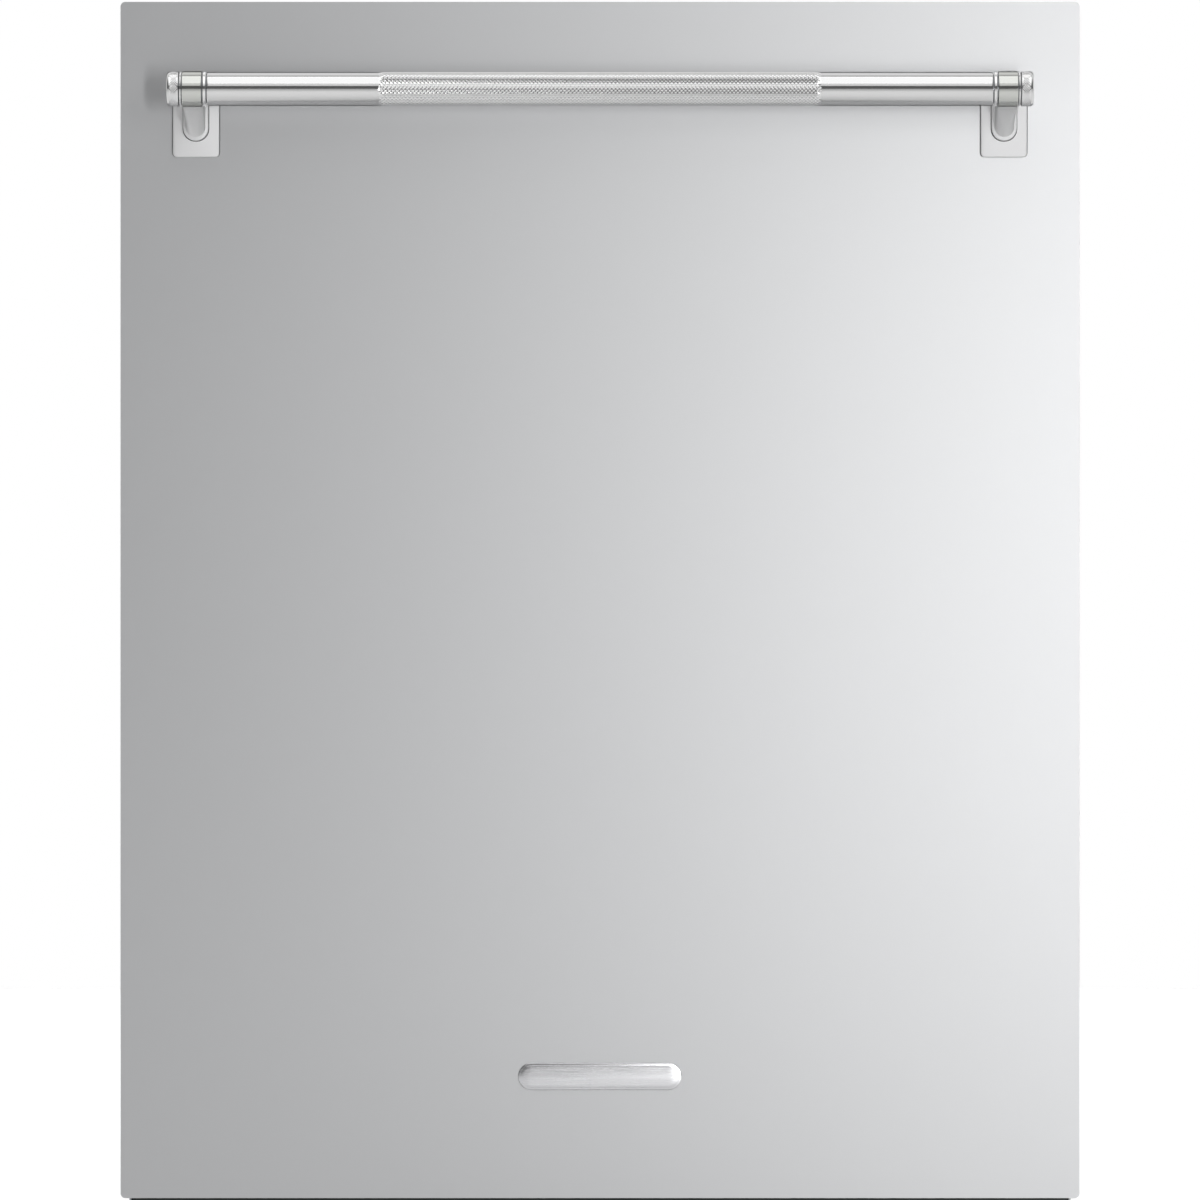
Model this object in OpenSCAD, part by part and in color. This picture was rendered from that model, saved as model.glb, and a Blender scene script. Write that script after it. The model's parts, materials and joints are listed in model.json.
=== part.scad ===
// Built in dishwasher, 24 inch class, with its door, racks, spray arms, pumps and feet.
// Millimetres. The front faces -Y, +Z is up, the origin is on the floor under the middle.

/* [Body] */
// Width of the front panel
body_w = 598; // [597:1:600]
// Height from the floor to the worktop tabs, with the feet screwed in
body_h = 860; // [858:1:866]
// Depth from the front panel's face to the ends of the rear spigots
body_d = 570; // [568:1:580]
// Thickness of folded sheet metal
sheet = 1; // [0.8:0.1:1.2]
// Height of the four feet under the base
foot_h = 20; // [18:1:22]

/* [Front panel] */
// Height of the front panel
panel_h = 746; // [744:1:748]
// Depth of the panel's folded edges
panel_fold = 20; // [15:1:20]
// Corner radius of the panel
panel_r = 3; // [2:0.5:5]
// Length of the plain badge
badge_w = 102; // [60:1:140]
// Height of the plain badge
badge_h = 17; // [10:1:24]
// Height of the badge's middle above the panel's bottom edge
badge_rise = 76; // [60:1:120]

/* [Handle] */
// Overall length of the handle
handle_len = 534.5; // [525:0.5:545]
// Radius of the grip
grip_r = 10.5; // [9:0.5:10.5]
// Radius of the bracket eyes
eye_r = 11; // [11:0.1:11.5]
// Distance between the middles of the two brackets
bracket_pitch = 503.5; // [495:0.5:510]
// Distance from the panel's face to the handle's axis
handle_out = 45; // [42:0.5:48]
// Distance of the handle's axis below the panel's top edge
handle_drop = 57.5; // [50:0.5:65]
// Width of a bracket's mounting plate
bracket_w = 29; // [26:0.5:32]
// Height of a bracket's mounting plate
bracket_h = 48; // [44:0.5:50]

/* [Door] */
// Thickness of the door from the panel's face to its inner rim
door_t = 46; // [45:0.5:47]
// Height of the raised middle of the door liner
field_rise = 10; // [8:0.5:11]
// Distance of the hinge axis behind the panel's face
hinge_back = 30; // [29:0.5:31]
// Height of the hinge axis above the panel's bottom edge
hinge_up = 13; // [12.5:0.5:13.5]
// Travel of the programme buttons
button_travel = 1.5; // [1:0.1:1.5]

/* [Tub] */
// Inner width of the tub
tub_w = 550; // [546:1:552]
// Height of the tub's floor
floor_z = 150; // [149:1:150]
// Radius of the hole over the sump
sump_r = 112; // [108:1:114]
// Swept radius of the lower spray arm
lower_arm_r = 225; // [200:1:226]
// Swept radius of the upper spray arm
upper_arm_r = 225; // [180:1:226]

/* [Racks] */
// Thickness of a rack's wires
wire = 4; // [3:0.5:4]
// Radius of the lower rack's wheels
wheel_r = 18; // [16:0.5:18]
// Half width of the lower rack
lower_x = 240; // [230:1:240]
// Half width of the upper rack
upper_x = 236; // [228:1:236]
// Space between neighbouring wires
wire_gap = 34; // [26:1:50]

/* [Mounts] */
// Radius of the screw holes in the worktop tabs
tab_hole_r = 2.5; // [2:0.1:3]
// Distance between the two worktop tabs
tab_pitch = 400; // [300:1:480]
// Distance between the two holes in one tab
tab_hole_pitch = 18; // [14:1:22]
// Radius of the water inlet's thread
inlet_r = 13.2; // [12:0.1:14]
// Radius of the drain spigot
drain_r = 10; // [9:0.5:11]
// Radius of the hole for the mains cable
gland_bore_r = 4.5; // [3:0.1:5]

/* [Hidden] */
$fn = 48;
cut = 1;                                  // how far a cutter runs past what it cuts
gap = 0.3;                                // space between pieces that slide or turn
weld = 0.05;                              // keeps the flat grids of a rack as separate solids

// Depth positions, from the handle's front to the rear spigots
half_w = body_w / 2;
half_d = (body_d + handle_out + eye_r) / 2;
face_y = handle_out + eye_r - half_d;
handle_y = face_y - handle_out;
skin_y = face_y + sheet;
rear_y = half_d;
rim_front = face_y + door_t;              // inner face of the door's rim
field_y = rim_front + field_rise;         // face of the liner's raised middle
rim_y = rim_front + 6;                    // front of the tub's rim
tub_front = rim_y + 2;
tub_rear = rear_y - 28;
base_front = tub_front + 8;
base_rear = rear_y - 13;

// Height positions
panel_top = body_h - 5;
panel_bottom = panel_top - panel_h;
panel_mid = (panel_top + panel_bottom) / 2;
handle_z = panel_top - handle_drop;
hinge_y = face_y + hinge_back;
hinge_z = panel_bottom + hinge_up;
frame_bottom = panel_bottom + 3;
frame_top = panel_top - 20;
fascia_top = panel_top - 2;
tub_top = body_h - 24;                    // outside of the tub's roof
rim_top = body_h - 10;

// Width positions
frame_x = half_w - 2;
liner_x = half_w - 6;
tub_x = tub_w / 2;
base_x = half_w - 3;
bracket_x = bracket_pitch / 2;
handle_screw_z = [handle_z - 21.5, handle_z - 1.5];
handle_screw_r = 2.5;

// Handle: spigot that carries the rings, the eye and the cap
spigot_r = 8;
cap_t = 7.5;
ring_t = 2;
eye_t = 12;
spigot_end = handle_len / 2 - cap_t;
eye_out = spigot_end - ring_t;
eye_in = eye_out - eye_t;
grip_end = eye_in - 3.4;

// Top controls
button_r = 5;
button_y = face_y + 33;
power_x = -200;
programme_x = -140;
start_x = 160;
display = [[40, button_y - 8], [110, button_y + 8]];
pocket_x = 8;
pocket_floor = fascia_top - 7;
pocket_front = rim_front - 15;

// Dispenser in the door liner
disp_x = 95;
disp_z = [425, 555];
disp_face = field_y + 5;
cup_x = [-85, -5];
cup_z = [476, 538];
rinse_at = [50, 448];
rinse_r = 17;

// Latch on the tub's top edge
latch_y = tub_front + 11;
latch_z = rim_top;
latch_pin_r = 2;

// Wet parts
spray_y = 40;
riser_r = 16;
arm_pin_r = 6;
arm_nut_r = 11;
arm_hub_r = 21;
cup_at = [48, 5];
cup_r = 35;
salt_at = [-210, 150];
salt_r = 30;
upper_pipe_z = 508;

// Racks
rack_front = field_y + 27;
lower_rear = tub_rear - 19;
lower_floor = 198;
axle_z = floor_z + 7 + wheel_r;
axle_r = 4;
front_axle_y = -95;
rear_axle_y = 195;
wheel_x = [249, 261];
upper_front = field_y + 23;
upper_rear = tub_rear - 37;
upper_floor = 520;
rail_z = 575;
shelf_z = 608;
shelf_axis_x = upper_x - 7;
tray_floor = 716;
tray_rail_z = 735;
tine_y = 70;
tine_z = lower_floor + 2 * wire + 2;
rail_y = [tub_front + 13, tub_rear - 20];  // ends of the rails on the tub's side walls

// Feet and rear connections
foot_x = 262;
foot_front_y = -160;
foot_rear_y = 262;
foot_stud_r = 5;
inlet_at = [-222, 70];
drain_at = [235, 80];
gland_at = [170, 65];
gland_r = 9;
inlet_shoulder_r = inlet_r + 2;

// Pumps, and the sump's ports that they sit on
circulation_at = [-40, 100];
circulation_y = 158;
drain_pump_at = [20, 100];
drain_pump_x = -130;

// ---------- shared shapes ----------

module block(lo, hi) translate(lo) cube(hi - lo);

module rod_x(x0, x1, y, z, r) translate([x0, y, z]) rotate([0, 90, 0]) cylinder(h = x1 - x0, r = r);

module rod_y(y0, y1, x, z, r) translate([x, y0, z]) rotate([-90, 0, 0]) cylinder(h = y1 - y0, r = r);

module rod_z(z0, z1, x, y, r) translate([x, y, z0]) cylinder(h = z1 - z0, r = r);

module both_sides() {
    children();
    mirror([1, 0, 0]) children();
}

// Rectangle with round corners, centred
module rounded(w, h, r) {
    square([w - 2 * r, h], center = true);
    square([w, h - 2 * r], center = true);
    for (x = [-1, 1], y = [-1, 1]) translate([x * (w / 2 - r), y * (h / 2 - r)]) circle(r);
}

// Upright slab with round corners, from y0 back to y1
module slab(y0, y1, w, h, r, at) translate([at[0], y1, at[1]]) rotate([90, 0, 0])
    linear_extrude(y1 - y0) rounded(w, h, r);

// Outline of a flat grid of square wires
module grid_outline(w, h) {
    nx = max(1, round((w - wire) / (wire_gap + wire)));
    ny = max(1, round((h - wire) / (wire_gap + wire)));
    px = (w - wire) / nx;
    py = (h - wire) / ny;
    difference() {
        square([w, h]);
        for (i = [0:nx - 1], j = [0:ny - 1])
            translate([wire + i * px, wire + j * py]) square([px - wire, py - wire]);
    }
}

module grid_floor(x0, x1, y0, y1, z) translate([x0, y0, z]) linear_extrude(wire)
    grid_outline(x1 - x0, y1 - y0);

module grid_across(x0, x1, y, z0, z1) translate([x0, y + wire, z0]) rotate([90, 0, 0])
    linear_extrude(wire) grid_outline(x1 - x0, z1 - z0);

module grid_along(x, y0, y1, z0, z1) translate([x, y0, z0]) rotate([90, 0, 90])
    linear_extrude(wire) grid_outline(y1 - y0, z1 - z0);

// Open topped wire basket: a floor and four walls
module basket(half_x, y0, y1, z, wall_h) {
    side_x = half_x - wire;
    floor_x = side_x - weld;
    inner_y = [y0 + wire + weld, y1 - wire - weld];
    grid_floor(-floor_x, floor_x, inner_y[0], inner_y[1], z);
    for (y = [y0, y1 - wire]) grid_across(-half_x, half_x, y, z, z + wall_h);
    both_sides() grid_along(side_x, inner_y[0], inner_y[1], z, z + wall_h);
}

// Row of upright tines on one bar, in the plane at y
module tine_comb(x0, x1, y, z0, z1, pitch) {
    block([x0, y, z0], [x1, y + wire, z0 + wire]);
    for (x = [x0:pitch:x1 - wire]) block([x, y, z0], [x + wire, y + wire, z1]);
}

// Spray arm: flat blade that narrows to round ends, on a hub
module spray_arm(reach, z) {
    root_w = 46;
    tip_r = 14;
    blade_t = 12;
    hub_t = 17;
    tip = reach - tip_r;
    difference() {
        union() {
            translate([0, spray_y, z + 2]) linear_extrude(blade_t) {
                polygon([[-tip, -tip_r], [0, -root_w / 2], [tip, -tip_r],
                         [tip, tip_r], [0, root_w / 2], [-tip, tip_r]]);
                for (x = [-tip, tip]) translate([x, 0]) circle(tip_r);
            }
            rod_z(z, z + hub_t, 0, spray_y, arm_hub_r);
        }
        rod_z(z - cut, z + hub_t + cut, 0, spray_y, arm_pin_r + 0.08);
    }
}

module button(x) {
    stem_top = fascia_top + button_travel;
    flange_z = fascia_top - 5;
    rod_z(fascia_top - 3, stem_top, x, button_y, button_r);
    rod_z(flange_z, fascia_top - 2.3, x, button_y, button_r + 1.5);
}

module foot(x, y) {
    disc_r = 19;
    disc_t = 5;
    stud_top = foot_h + 38;
    rod_z(0, disc_t, x, y, disc_r);
    rod_z(disc_t, stud_top, x, y, foot_stud_r);
}

// ---------- door ----------

module front_panel() color("silver") difference() {
    slab(face_y, face_y + panel_fold, body_w, panel_h, panel_r, [0, panel_mid]);
    slab(skin_y, face_y + panel_fold + cut, body_w - 2 * sheet, panel_h - 2 * sheet,
         panel_r - sheet, [0, panel_mid]);
    both_sides() for (z = handle_screw_z)
        rod_y(face_y - cut, skin_y + cut, bracket_x, z, handle_screw_r + 0.2);
}

module door_frame() color("lightslategray") {
    wall = 1.2;
    window_x = 240;
    window_z = [190, 740];
    notch_x = [278, frame_x - 3.5];
    difference() {
        block([-frame_x, skin_y, frame_bottom], [frame_x, rim_front - sheet, frame_top]);
        block([-frame_x + wall, skin_y + wall, frame_bottom + wall],
              [frame_x - wall, rim_front, frame_top - wall]);
        block([-window_x, skin_y - cut, window_z[0]], [window_x, skin_y + wall + cut, window_z[1]]);
        both_sides() {
            block([notch_x[0], hinge_y - 9.5, frame_bottom - cut],
                  [notch_x[1], rim_front, frame_bottom + wall + cut]);
            for (z = handle_screw_z)
                rod_y(skin_y - cut, skin_y + wall + cut, bracket_x, z, handle_screw_r + 0.2);
        }
    }
}

module door_liner() color("gainsboro") {
    rim_back = rim_front - sheet;
    rim_z = [frame_bottom + sheet, frame_top - 2];
    field_x = 262;
    field_z = [170, 812];
    track_x = [244, 260];
    track_z = [175, 560];
    track_y = field_y + 8.7;
    corner = [280, 134];                  // the hinge brackets pass below and outside this corner
    difference() {
        union() {
            block([-liner_x, rim_back, rim_z[0]], [liner_x, rim_front, rim_z[1]]);
            block([-field_x, rim_back, field_z[0]], [field_x, field_y, field_z[1]]);
            both_sides() block([track_x[0], field_y - sheet, track_z[0]], [track_x[1], track_y, track_z[1]]);
        }
        block([-field_x + sheet, rim_back - cut, field_z[0] + sheet],
              [field_x - sheet, field_y - sheet, field_z[1] - sheet]);
        both_sides() {
            block([track_x[0] + sheet, field_y - sheet - cut, track_z[0] + sheet],
                  [track_x[1] - sheet, track_y - sheet, track_z[1] - sheet]);
            block([corner[0], rim_back - cut, rim_z[0] - cut], [liner_x + cut, rim_front + cut, corner[1]]);
        }
        block([-disp_x, field_y - sheet - cut, disp_z[0]], [disp_x, field_y + cut, disp_z[1]]);
    }
}

module door_lip_seal() color("dimgray") {
    half_l = 272;
    seal_h = 14;
    lip = 7;                              // how far the seal stands out from the door's rim
    profile = [[0, 0], [0, seal_h], [3, seal_h - 2], [lip, 7], [lip, 5], [3, 2]];
    translate([-half_l, rim_front, 134]) rotate([90, 0, 90]) linear_extrude(2 * half_l)
        polygon(profile);
}

module control_fascia() color("dimgray") {
    wall = 2;
    front = face_y + panel_fold;
    difference() {
        union() {
            difference() {
                block([-liner_x, front, frame_top], [liner_x, rim_front, fascia_top]);
                block([-liner_x + wall, front + wall, frame_top - cut],
                      [liner_x - wall, rim_front - wall, fascia_top - wall]);
            }
            block([-pocket_x - wall, pocket_front - wall, pocket_floor - wall],
                  [pocket_x + wall, rim_front, fascia_top]);
        }
        block([-pocket_x, pocket_front, pocket_floor], [pocket_x, rim_front + cut, fascia_top + cut]);
        block([-pocket_x + 1, pocket_front + 1, pocket_floor - wall - cut],
              [pocket_x - 1, rim_front - wall - 1, pocket_floor + cut]);
        for (x = [power_x, programme_x, start_x])
            rod_z(fascia_top - wall - cut, fascia_top + cut, x, button_y, button_r + 0.4);
        block([display[0][0], display[0][1], fascia_top - wall - cut],
              [display[1][0], display[1][1], fascia_top + cut]);
    }
}

module display_window() color("black")
    block([display[0][0], display[0][1], fascia_top - 2], [display[1][0], display[1][1], fascia_top]);

module power_button() color("lightgray") button(power_x);

module programme_button() color("lightgray") button(programme_x);

module start_button() color("lightgray") button(start_x);

module control_board() color("darkgreen") {
    board_x = 215;
    board_z = fascia_top - 15;
    board_t = 1.6;
    switch_top = fascia_top - 7;
    block([-board_x, button_y - 9, board_z], [board_x, button_y + 9, board_z + board_t]);
    for (x = [power_x, programme_x, start_x]) rod_z(board_z, switch_top, x, button_y, 3);
    block([display[0][0] + 2, display[0][1] + 2, board_z],
          [display[1][0] - 2, display[1][1] - 2, fascia_top - 3]);
}

module dispenser_body() color("darkgray") {
    back_y = field_y - 23;
    cup_floor = field_y - 15;
    rail_h = 3;
    rail_y = disp_face + 4.5;
    difference() {
        block([-disp_x, back_y, disp_z[0]], [disp_x, disp_face, disp_z[1]]);
        block([cup_x[0], cup_floor, cup_z[0]], [cup_x[1], disp_face + cut, cup_z[1]]);
        rod_y(cup_floor, disp_face + cut, rinse_at[0], rinse_at[1], rinse_r - 4);
    }
    for (z = [cup_z[0] - 3 - rail_h, cup_z[1] + 3])
        block([-disp_x, disp_face, z], [disp_x, rail_y, z + rail_h]);
}

module dispenser_lid() color("slategray") {
    lid_t = 3;
    y0 = disp_face + gap;
    lid_z = [cup_z[0] - 3 + gap, cup_z[1] + 3 - gap];
    ridge_x = cup_x[1] - 8;
    block([cup_x[0] - 3, y0, lid_z[0]], [cup_x[1] + 3, y0 + lid_t, lid_z[1]]);
    block([ridge_x, y0 + lid_t, lid_z[0] + 10], [ridge_x + 4, y0 + lid_t + 2, lid_z[1] - 10]);
}

module rinse_aid_cap() color("slategray") {
    disc_y = disp_face + 6;
    grip_half = 2.5;
    plug_r = rinse_r - 4.1;
    rod_y(disp_face, disc_y, rinse_at[0], rinse_at[1], rinse_r);
    rod_y(disp_face - 8, disp_face, rinse_at[0], rinse_at[1], plug_r);
    block([rinse_at[0] - 12, disc_y, rinse_at[1] - grip_half],
          [rinse_at[0] + 12, disc_y + 4, rinse_at[1] + grip_half]);
}

module hinge_arms() color("gray") both_sides() {
    outer = frame_x - 1.2;
    arm_t = 2.8;
    pin_r = 4;
    block([outer - arm_t, hinge_y - 23, frame_bottom + 2], [outer, hinge_y + 13, 280]);
    rod_x(283, outer, hinge_y, hinge_z, pin_r);
}

module name_badge() color("lightgray")
    slab(face_y - 2, face_y, badge_w, badge_h, badge_h / 2 - 0.01, [0, panel_bottom + badge_rise]);

// ---------- handle ----------

module handle_bar() color("silver") difference() {
    union() {
        rod_x(-grip_end, grip_end, handle_y, handle_z, grip_r);
        rod_x(-spigot_end, spigot_end, handle_y, handle_z, spigot_r);
    }
    both_sides() rod_x(eye_in, spigot_end + cut, handle_y, handle_z, 3.4);
}

module handle_ring(x0, x1) difference() {
    rod_x(x0, x1, handle_y, handle_z, eye_r - 0.2);
    rod_x(x0 - cut, x1 + cut, handle_y, handle_z, spigot_r + 0.05);
}

module handle_collars() color("gainsboro") both_sides() {
    handle_ring(grip_end, eye_in);
    handle_ring(eye_out, spigot_end);
}

module handle_end_caps() color("silver") both_sides() {
    chamfer = 1.2;
    r = eye_r - 0.25;
    end_x = handle_len / 2;
    rod_x(spigot_end, end_x - chamfer, handle_y, handle_z, r);
    translate([end_x - chamfer, handle_y, handle_z]) rotate([0, 90, 0])
        cylinder(h = chamfer, r1 = r, r2 = r - chamfer);
    rod_x(spigot_end - 12, spigot_end, handle_y, handle_z, 3.35);
}

// Bracket: a mounting plate, a foot, a curved arm and the eye that holds the grip
module handle_bracket() {
    plate_t = 3;
    foot_w = 15.7;
    foot_t = 4;
    arm_w = 12;
    foot_top = handle_z + 8.5;
    foot_bottom = foot_top - 38;
    foot_y = face_y - plate_t - foot_t;
    reach = foot_y - handle_y;
    rise = handle_z - eye_r + 1 - foot_bottom - 2;
    underside = [for (i = [0:12]) [foot_y - reach * i / 12, foot_bottom + 2 + rise * sin(90 * i / 12)]];
    difference() {
        union() {
            slab(face_y - plate_t, face_y, bracket_w, bracket_h, 2.6,
                 [bracket_x, foot_top - bracket_h / 2]);
            slab(foot_y, face_y - plate_t, foot_w, foot_top - foot_bottom, foot_w / 2 - 0.01,
                 [bracket_x, (foot_top + foot_bottom) / 2]);
            translate([bracket_x - arm_w / 2, 0, 0]) rotate([90, 0, 90]) linear_extrude(arm_w)
                polygon(concat(underside, [[handle_y, handle_z + eye_r - 1], [foot_y, foot_top - 2]]));
            rod_x(eye_in, eye_out, handle_y, handle_z, eye_r);
        }
        rod_x(eye_in - cut, eye_out + cut, handle_y, handle_z, spigot_r + 0.05);
        for (z = handle_screw_z) rod_y(face_y - 10, face_y + cut, bracket_x, z, handle_screw_r);
    }
}

module handle_bracket_left() color("lightgray") mirror([1, 0, 0]) handle_bracket();

module handle_bracket_right() color("lightgray") handle_bracket();

module handle_screws() color("gray") both_sides() for (z = handle_screw_z) {
    seat = skin_y + 1.2;
    rod_y(face_y - 9, seat, bracket_x, z, handle_screw_r - 0.05);
    rod_y(seat, seat + 3, bracket_x, z, handle_screw_r + 2);
}

// ---------- base ----------

module base_tray() color("dimgray") {
    wall = 3;
    boss_r = 9;
    boss_top = foot_h + 40;
    hinge_slot = [285, 291];
    floor_at = foot_h;
    difference() {
        union() {
            difference() {
                block([-base_x, base_front, floor_at], [base_x, base_rear, floor_z - sheet]);
                block([-base_x + wall, base_front + wall, floor_at + wall],
                      [base_x - wall, base_rear - wall, floor_z + cut]);
            }
            for (x = [-foot_x, foot_x], y = [foot_front_y, foot_rear_y])
                rod_z(floor_at, boss_top, x, y, boss_r);
            rod_y(base_rear - wall, rear_y, drain_at[0], drain_at[1], drain_r);
        }
        for (x = [-foot_x, foot_x], y = [foot_front_y, foot_rear_y])
            rod_z(floor_at - cut, boss_top + cut, x, y, foot_stud_r + 0.08);
        both_sides() block([hinge_slot[0], base_front - cut, hinge_z - 10],
                           [hinge_slot[1], base_front + wall + cut, floor_z + cut]);
        rod_y(base_rear - wall - cut, rear_y + cut, drain_at[0], drain_at[1], drain_r - 2.5);
        rod_y(base_rear - wall - cut, base_rear + cut, inlet_at[0], inlet_at[1], inlet_shoulder_r + 0.8);
        rod_y(base_rear - wall - cut, base_rear + cut, gland_at[0], gland_at[1], gland_r + 1);
    }
}

module toe_kick() color("dimgray") {
    kick_x = 290;
    kick_z = [12, 100];
    kick_t = 2;
    slot = [44, 4];
    difference() {
        block([-kick_x, base_front - 5, kick_z[0]], [kick_x, base_front - 5 + kick_t, kick_z[1]]);
        for (i = [-3:3], j = [0:2])
            block([i * 60 - slot[0] / 2, base_front - 5 - cut, 40 + j * 10],
                  [i * 60 + slot[0] / 2, base_front, 40 + j * 10 + slot[1]]);
    }
    both_sides() block([kick_x - kick_t, base_front - 3, kick_z[0] + foot_h],
                       [kick_x, base_front, kick_z[1]]);
}

module hinge_brackets() color("darkgray") both_sides() {
    plate_x = [286, 290];
    nose_r = 8;
    pin_r = 4;
    foot_y = [base_front + 3.5, -150];
    foot_z = 60;
    difference() {
        union() {
            rod_x(plate_x[0], plate_x[1], hinge_y, hinge_z, nose_r);
            block([plate_x[0], hinge_y, hinge_z - nose_r], [plate_x[1], foot_y[1], hinge_z + nose_r]);
            block([plate_x[0], foot_y[0], foot_z], [plate_x[1], foot_y[1], hinge_z]);
            block([plate_x[0], foot_y[0] + 5, foot_z + 5], [base_x - 3, foot_y[1] - 5, hinge_z]);
        }
        rod_x(plate_x[0] - cut, plate_x[1] + cut, hinge_y, hinge_z, pin_r + 0.05);
    }
}

module balance_springs() color("gray") both_sides() {
    spring_x = 279;
    spring_z = 70;
    coil_r = 6;
    coil_y = [-125, 60];
    difference() {
        rod_y(coil_y[0], coil_y[1], spring_x, spring_z, coil_r);
        rod_y(coil_y[0] + 3, coil_y[1] - 3, spring_x, spring_z, coil_r - 2);
    }
    wire_r = 1.5;
    rod_y(coil_y[0] - 20, coil_y[0], spring_x, spring_z, wire_r);
    rod_y(coil_y[1], coil_y[1] + 25, spring_x, spring_z, wire_r);
}

module foot_front_left() color("dimgray") foot(-foot_x, foot_front_y);

module foot_front_right() color("dimgray") foot(foot_x, foot_front_y);

module rear_feet() color("dimgray") both_sides() foot(foot_x, foot_rear_y);

// ---------- tub ----------

module tub_wrap() color("gainsboro") {
    ear_x = [7, 9];
    notch = 5;                            // the latch hook passes over the rim here
    both_sides() block([tub_x, tub_front, floor_z], [tub_x + sheet, tub_rear, tub_top]);
    block([-tub_x, tub_front, tub_top - sheet], [tub_x, tub_rear, tub_top]);
    difference() {
        block([-frame_x, rim_y, floor_z], [frame_x, tub_front, rim_top]);
        block([-tub_x, rim_y - cut, floor_z - cut], [tub_x, tub_front + cut, tub_top - sheet]);
        block([-pocket_x, rim_y - cut, rim_top - notch], [pocket_x, tub_front + cut, rim_top + cut]);
    }
    both_sides() block([ear_x[0], latch_y - 6, tub_top], [ear_x[1], latch_y + 6, latch_z + 5]);
    rod_x(-ear_x[1], ear_x[1], latch_y, latch_z, latch_pin_r);
}

module tub_back() color("gainsboro") {
    bead = [200, 3, 20];
    block([-tub_x - sheet, tub_rear, floor_z], [tub_x + sheet, tub_rear + sheet, tub_top]);
    for (z = [300, 480, 660])
        block([-bead[0], tub_rear + sheet, z], [bead[0], tub_rear + sheet + bead[1], z + bead[2]]);
}

module tub_floor() color("gainsboro") {
    lip_z = 128;
    track_x = [247, 263];
    track_rear = rear_axle_y + wheel_r + 17;
    track_top = axle_z - wheel_r - gap;
    difference() {
        block([-base_x, tub_front, floor_z - sheet], [base_x, base_rear, floor_z]);
        rod_z(floor_z - sheet - cut, floor_z + cut, 0, spray_y, sump_r);
        rod_z(floor_z - sheet - cut, floor_z + cut, salt_at[0], salt_at[1], salt_r + 2);
    }
    block([-tub_x, tub_front, lip_z], [tub_x, tub_front + sheet, floor_z - sheet]);
    both_sides() block([track_x[0], tub_front, floor_z], [track_x[1], track_rear, track_top]);
}

module tub_gasket() color("dimgray") {
    seal_x = [279, 291];
    seal_top = rim_top - 4;
    seal_inner = tub_top + 1;
    difference() {
        block([-seal_x[1], rim_front + gap, floor_z], [seal_x[1], rim_y, seal_top]);
        block([-seal_x[0], rim_front, floor_z - cut], [seal_x[0], rim_y + cut, seal_inner]);
    }
}

module side_panel() {
    fold = 17;
    block([base_x, tub_front, foot_h], [base_x + sheet, base_rear, rim_top]);
    block([base_x - fold, base_rear - sheet, floor_z], [base_x, base_rear, rim_top]);
}

module side_panel_left() color("lightsteelblue") mirror([1, 0, 0]) side_panel();

module side_panel_right() color("lightsteelblue") side_panel();

module insulation_blanket() color("darkslategray") {
    felt_x = tub_x + 15;
    felt_y = [-175, 275];
    felt_z = [170, tub_top + 12];
    difference() {
        block([-felt_x, felt_y[0], felt_z[0]], [felt_x, felt_y[1], felt_z[1]]);
        block([-tub_x - sheet, felt_y[0] - cut, felt_z[0] - cut], [tub_x + sheet, felt_y[1] + cut, tub_top]);
    }
}

module worktop_brackets() color("silver") both_sides() {
    tab_w = 40;
    tab_t = 2;
    tab_y = [tub_front + 20, tub_front + 63];  // set back, so that the front panel hides them
    hole_y = tub_front + 42;
    x0 = tab_pitch / 2 - tab_w / 2;
    difference() {
        union() {
            block([x0, tab_y[0], body_h - tab_t], [x0 + tab_w, tab_y[1], body_h]);
            block([x0, tab_y[0], tub_top], [x0 + tab_w, tab_y[0] + tab_t, body_h]);
        }
        for (s = [-1, 1])
            rod_z(body_h - tab_t - cut, body_h + cut, tab_pitch / 2, hole_y + s * tab_hole_pitch / 2,
                  tab_hole_r);
    }
}

module latch_hook() color("gray") {
    hook_x = 5;
    arm_z = [latch_z - 1.7, latch_z + 1.3];
    barb_y = pocket_front + 3.5;
    barb_z = arm_z[0] - 1.7;
    difference() {
        union() {
            block([-hook_x, barb_y, arm_z[0]], [hook_x, latch_y, arm_z[1]]);
            block([-hook_x, barb_y, barb_z], [hook_x, barb_y + 4, arm_z[0]]);
            rod_x(-hook_x, hook_x, latch_y, latch_z, 4);
        }
        rod_x(-hook_x - cut, hook_x + cut, latch_y, latch_z, latch_pin_r + 0.05);
    }
}

// ---------- wet parts ----------

module sump() color("dimgray") {
    bowl_r = sump_r - 8;
    bowl_z = [88, floor_z - 5];
    wall = 3;
    flange_r = sump_r + 10;
    suction_r = 14;
    outlet_r = 11;
    reach = bowl_r - 14;                  // how far in the ports start
    difference() {
        union() {
            rod_z(bowl_z[1], floor_z - sheet, 0, spray_y, flange_r);
            rod_z(bowl_z[0], bowl_z[1], 0, spray_y, bowl_r);
            rod_y(spray_y + reach, circulation_y, circulation_at[0], circulation_at[1], suction_r);
            rod_x(drain_pump_x, -reach, drain_pump_at[0], drain_pump_at[1], outlet_r);
        }
        rod_z(bowl_z[0] + wall, floor_z, 0, spray_y, bowl_r - wall);
        rod_y(spray_y + reach - 10, circulation_y + cut, circulation_at[0], circulation_at[1],
              suction_r - wall);
        rod_x(drain_pump_x - cut, 10 - reach, drain_pump_at[0], drain_pump_at[1], outlet_r - wall);
    }
}

module filter_plate() color("silver") difference() {
    rod_z(floor_z - sheet, floor_z + 0.5, 0, spray_y, sump_r - 1);
    rod_z(floor_z - 2, floor_z + cut, cup_at[0], cup_at[1], cup_r + 1);
    rod_z(floor_z - 2, floor_z + cut, 0, spray_y, riser_r + 0.5);
}

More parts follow.
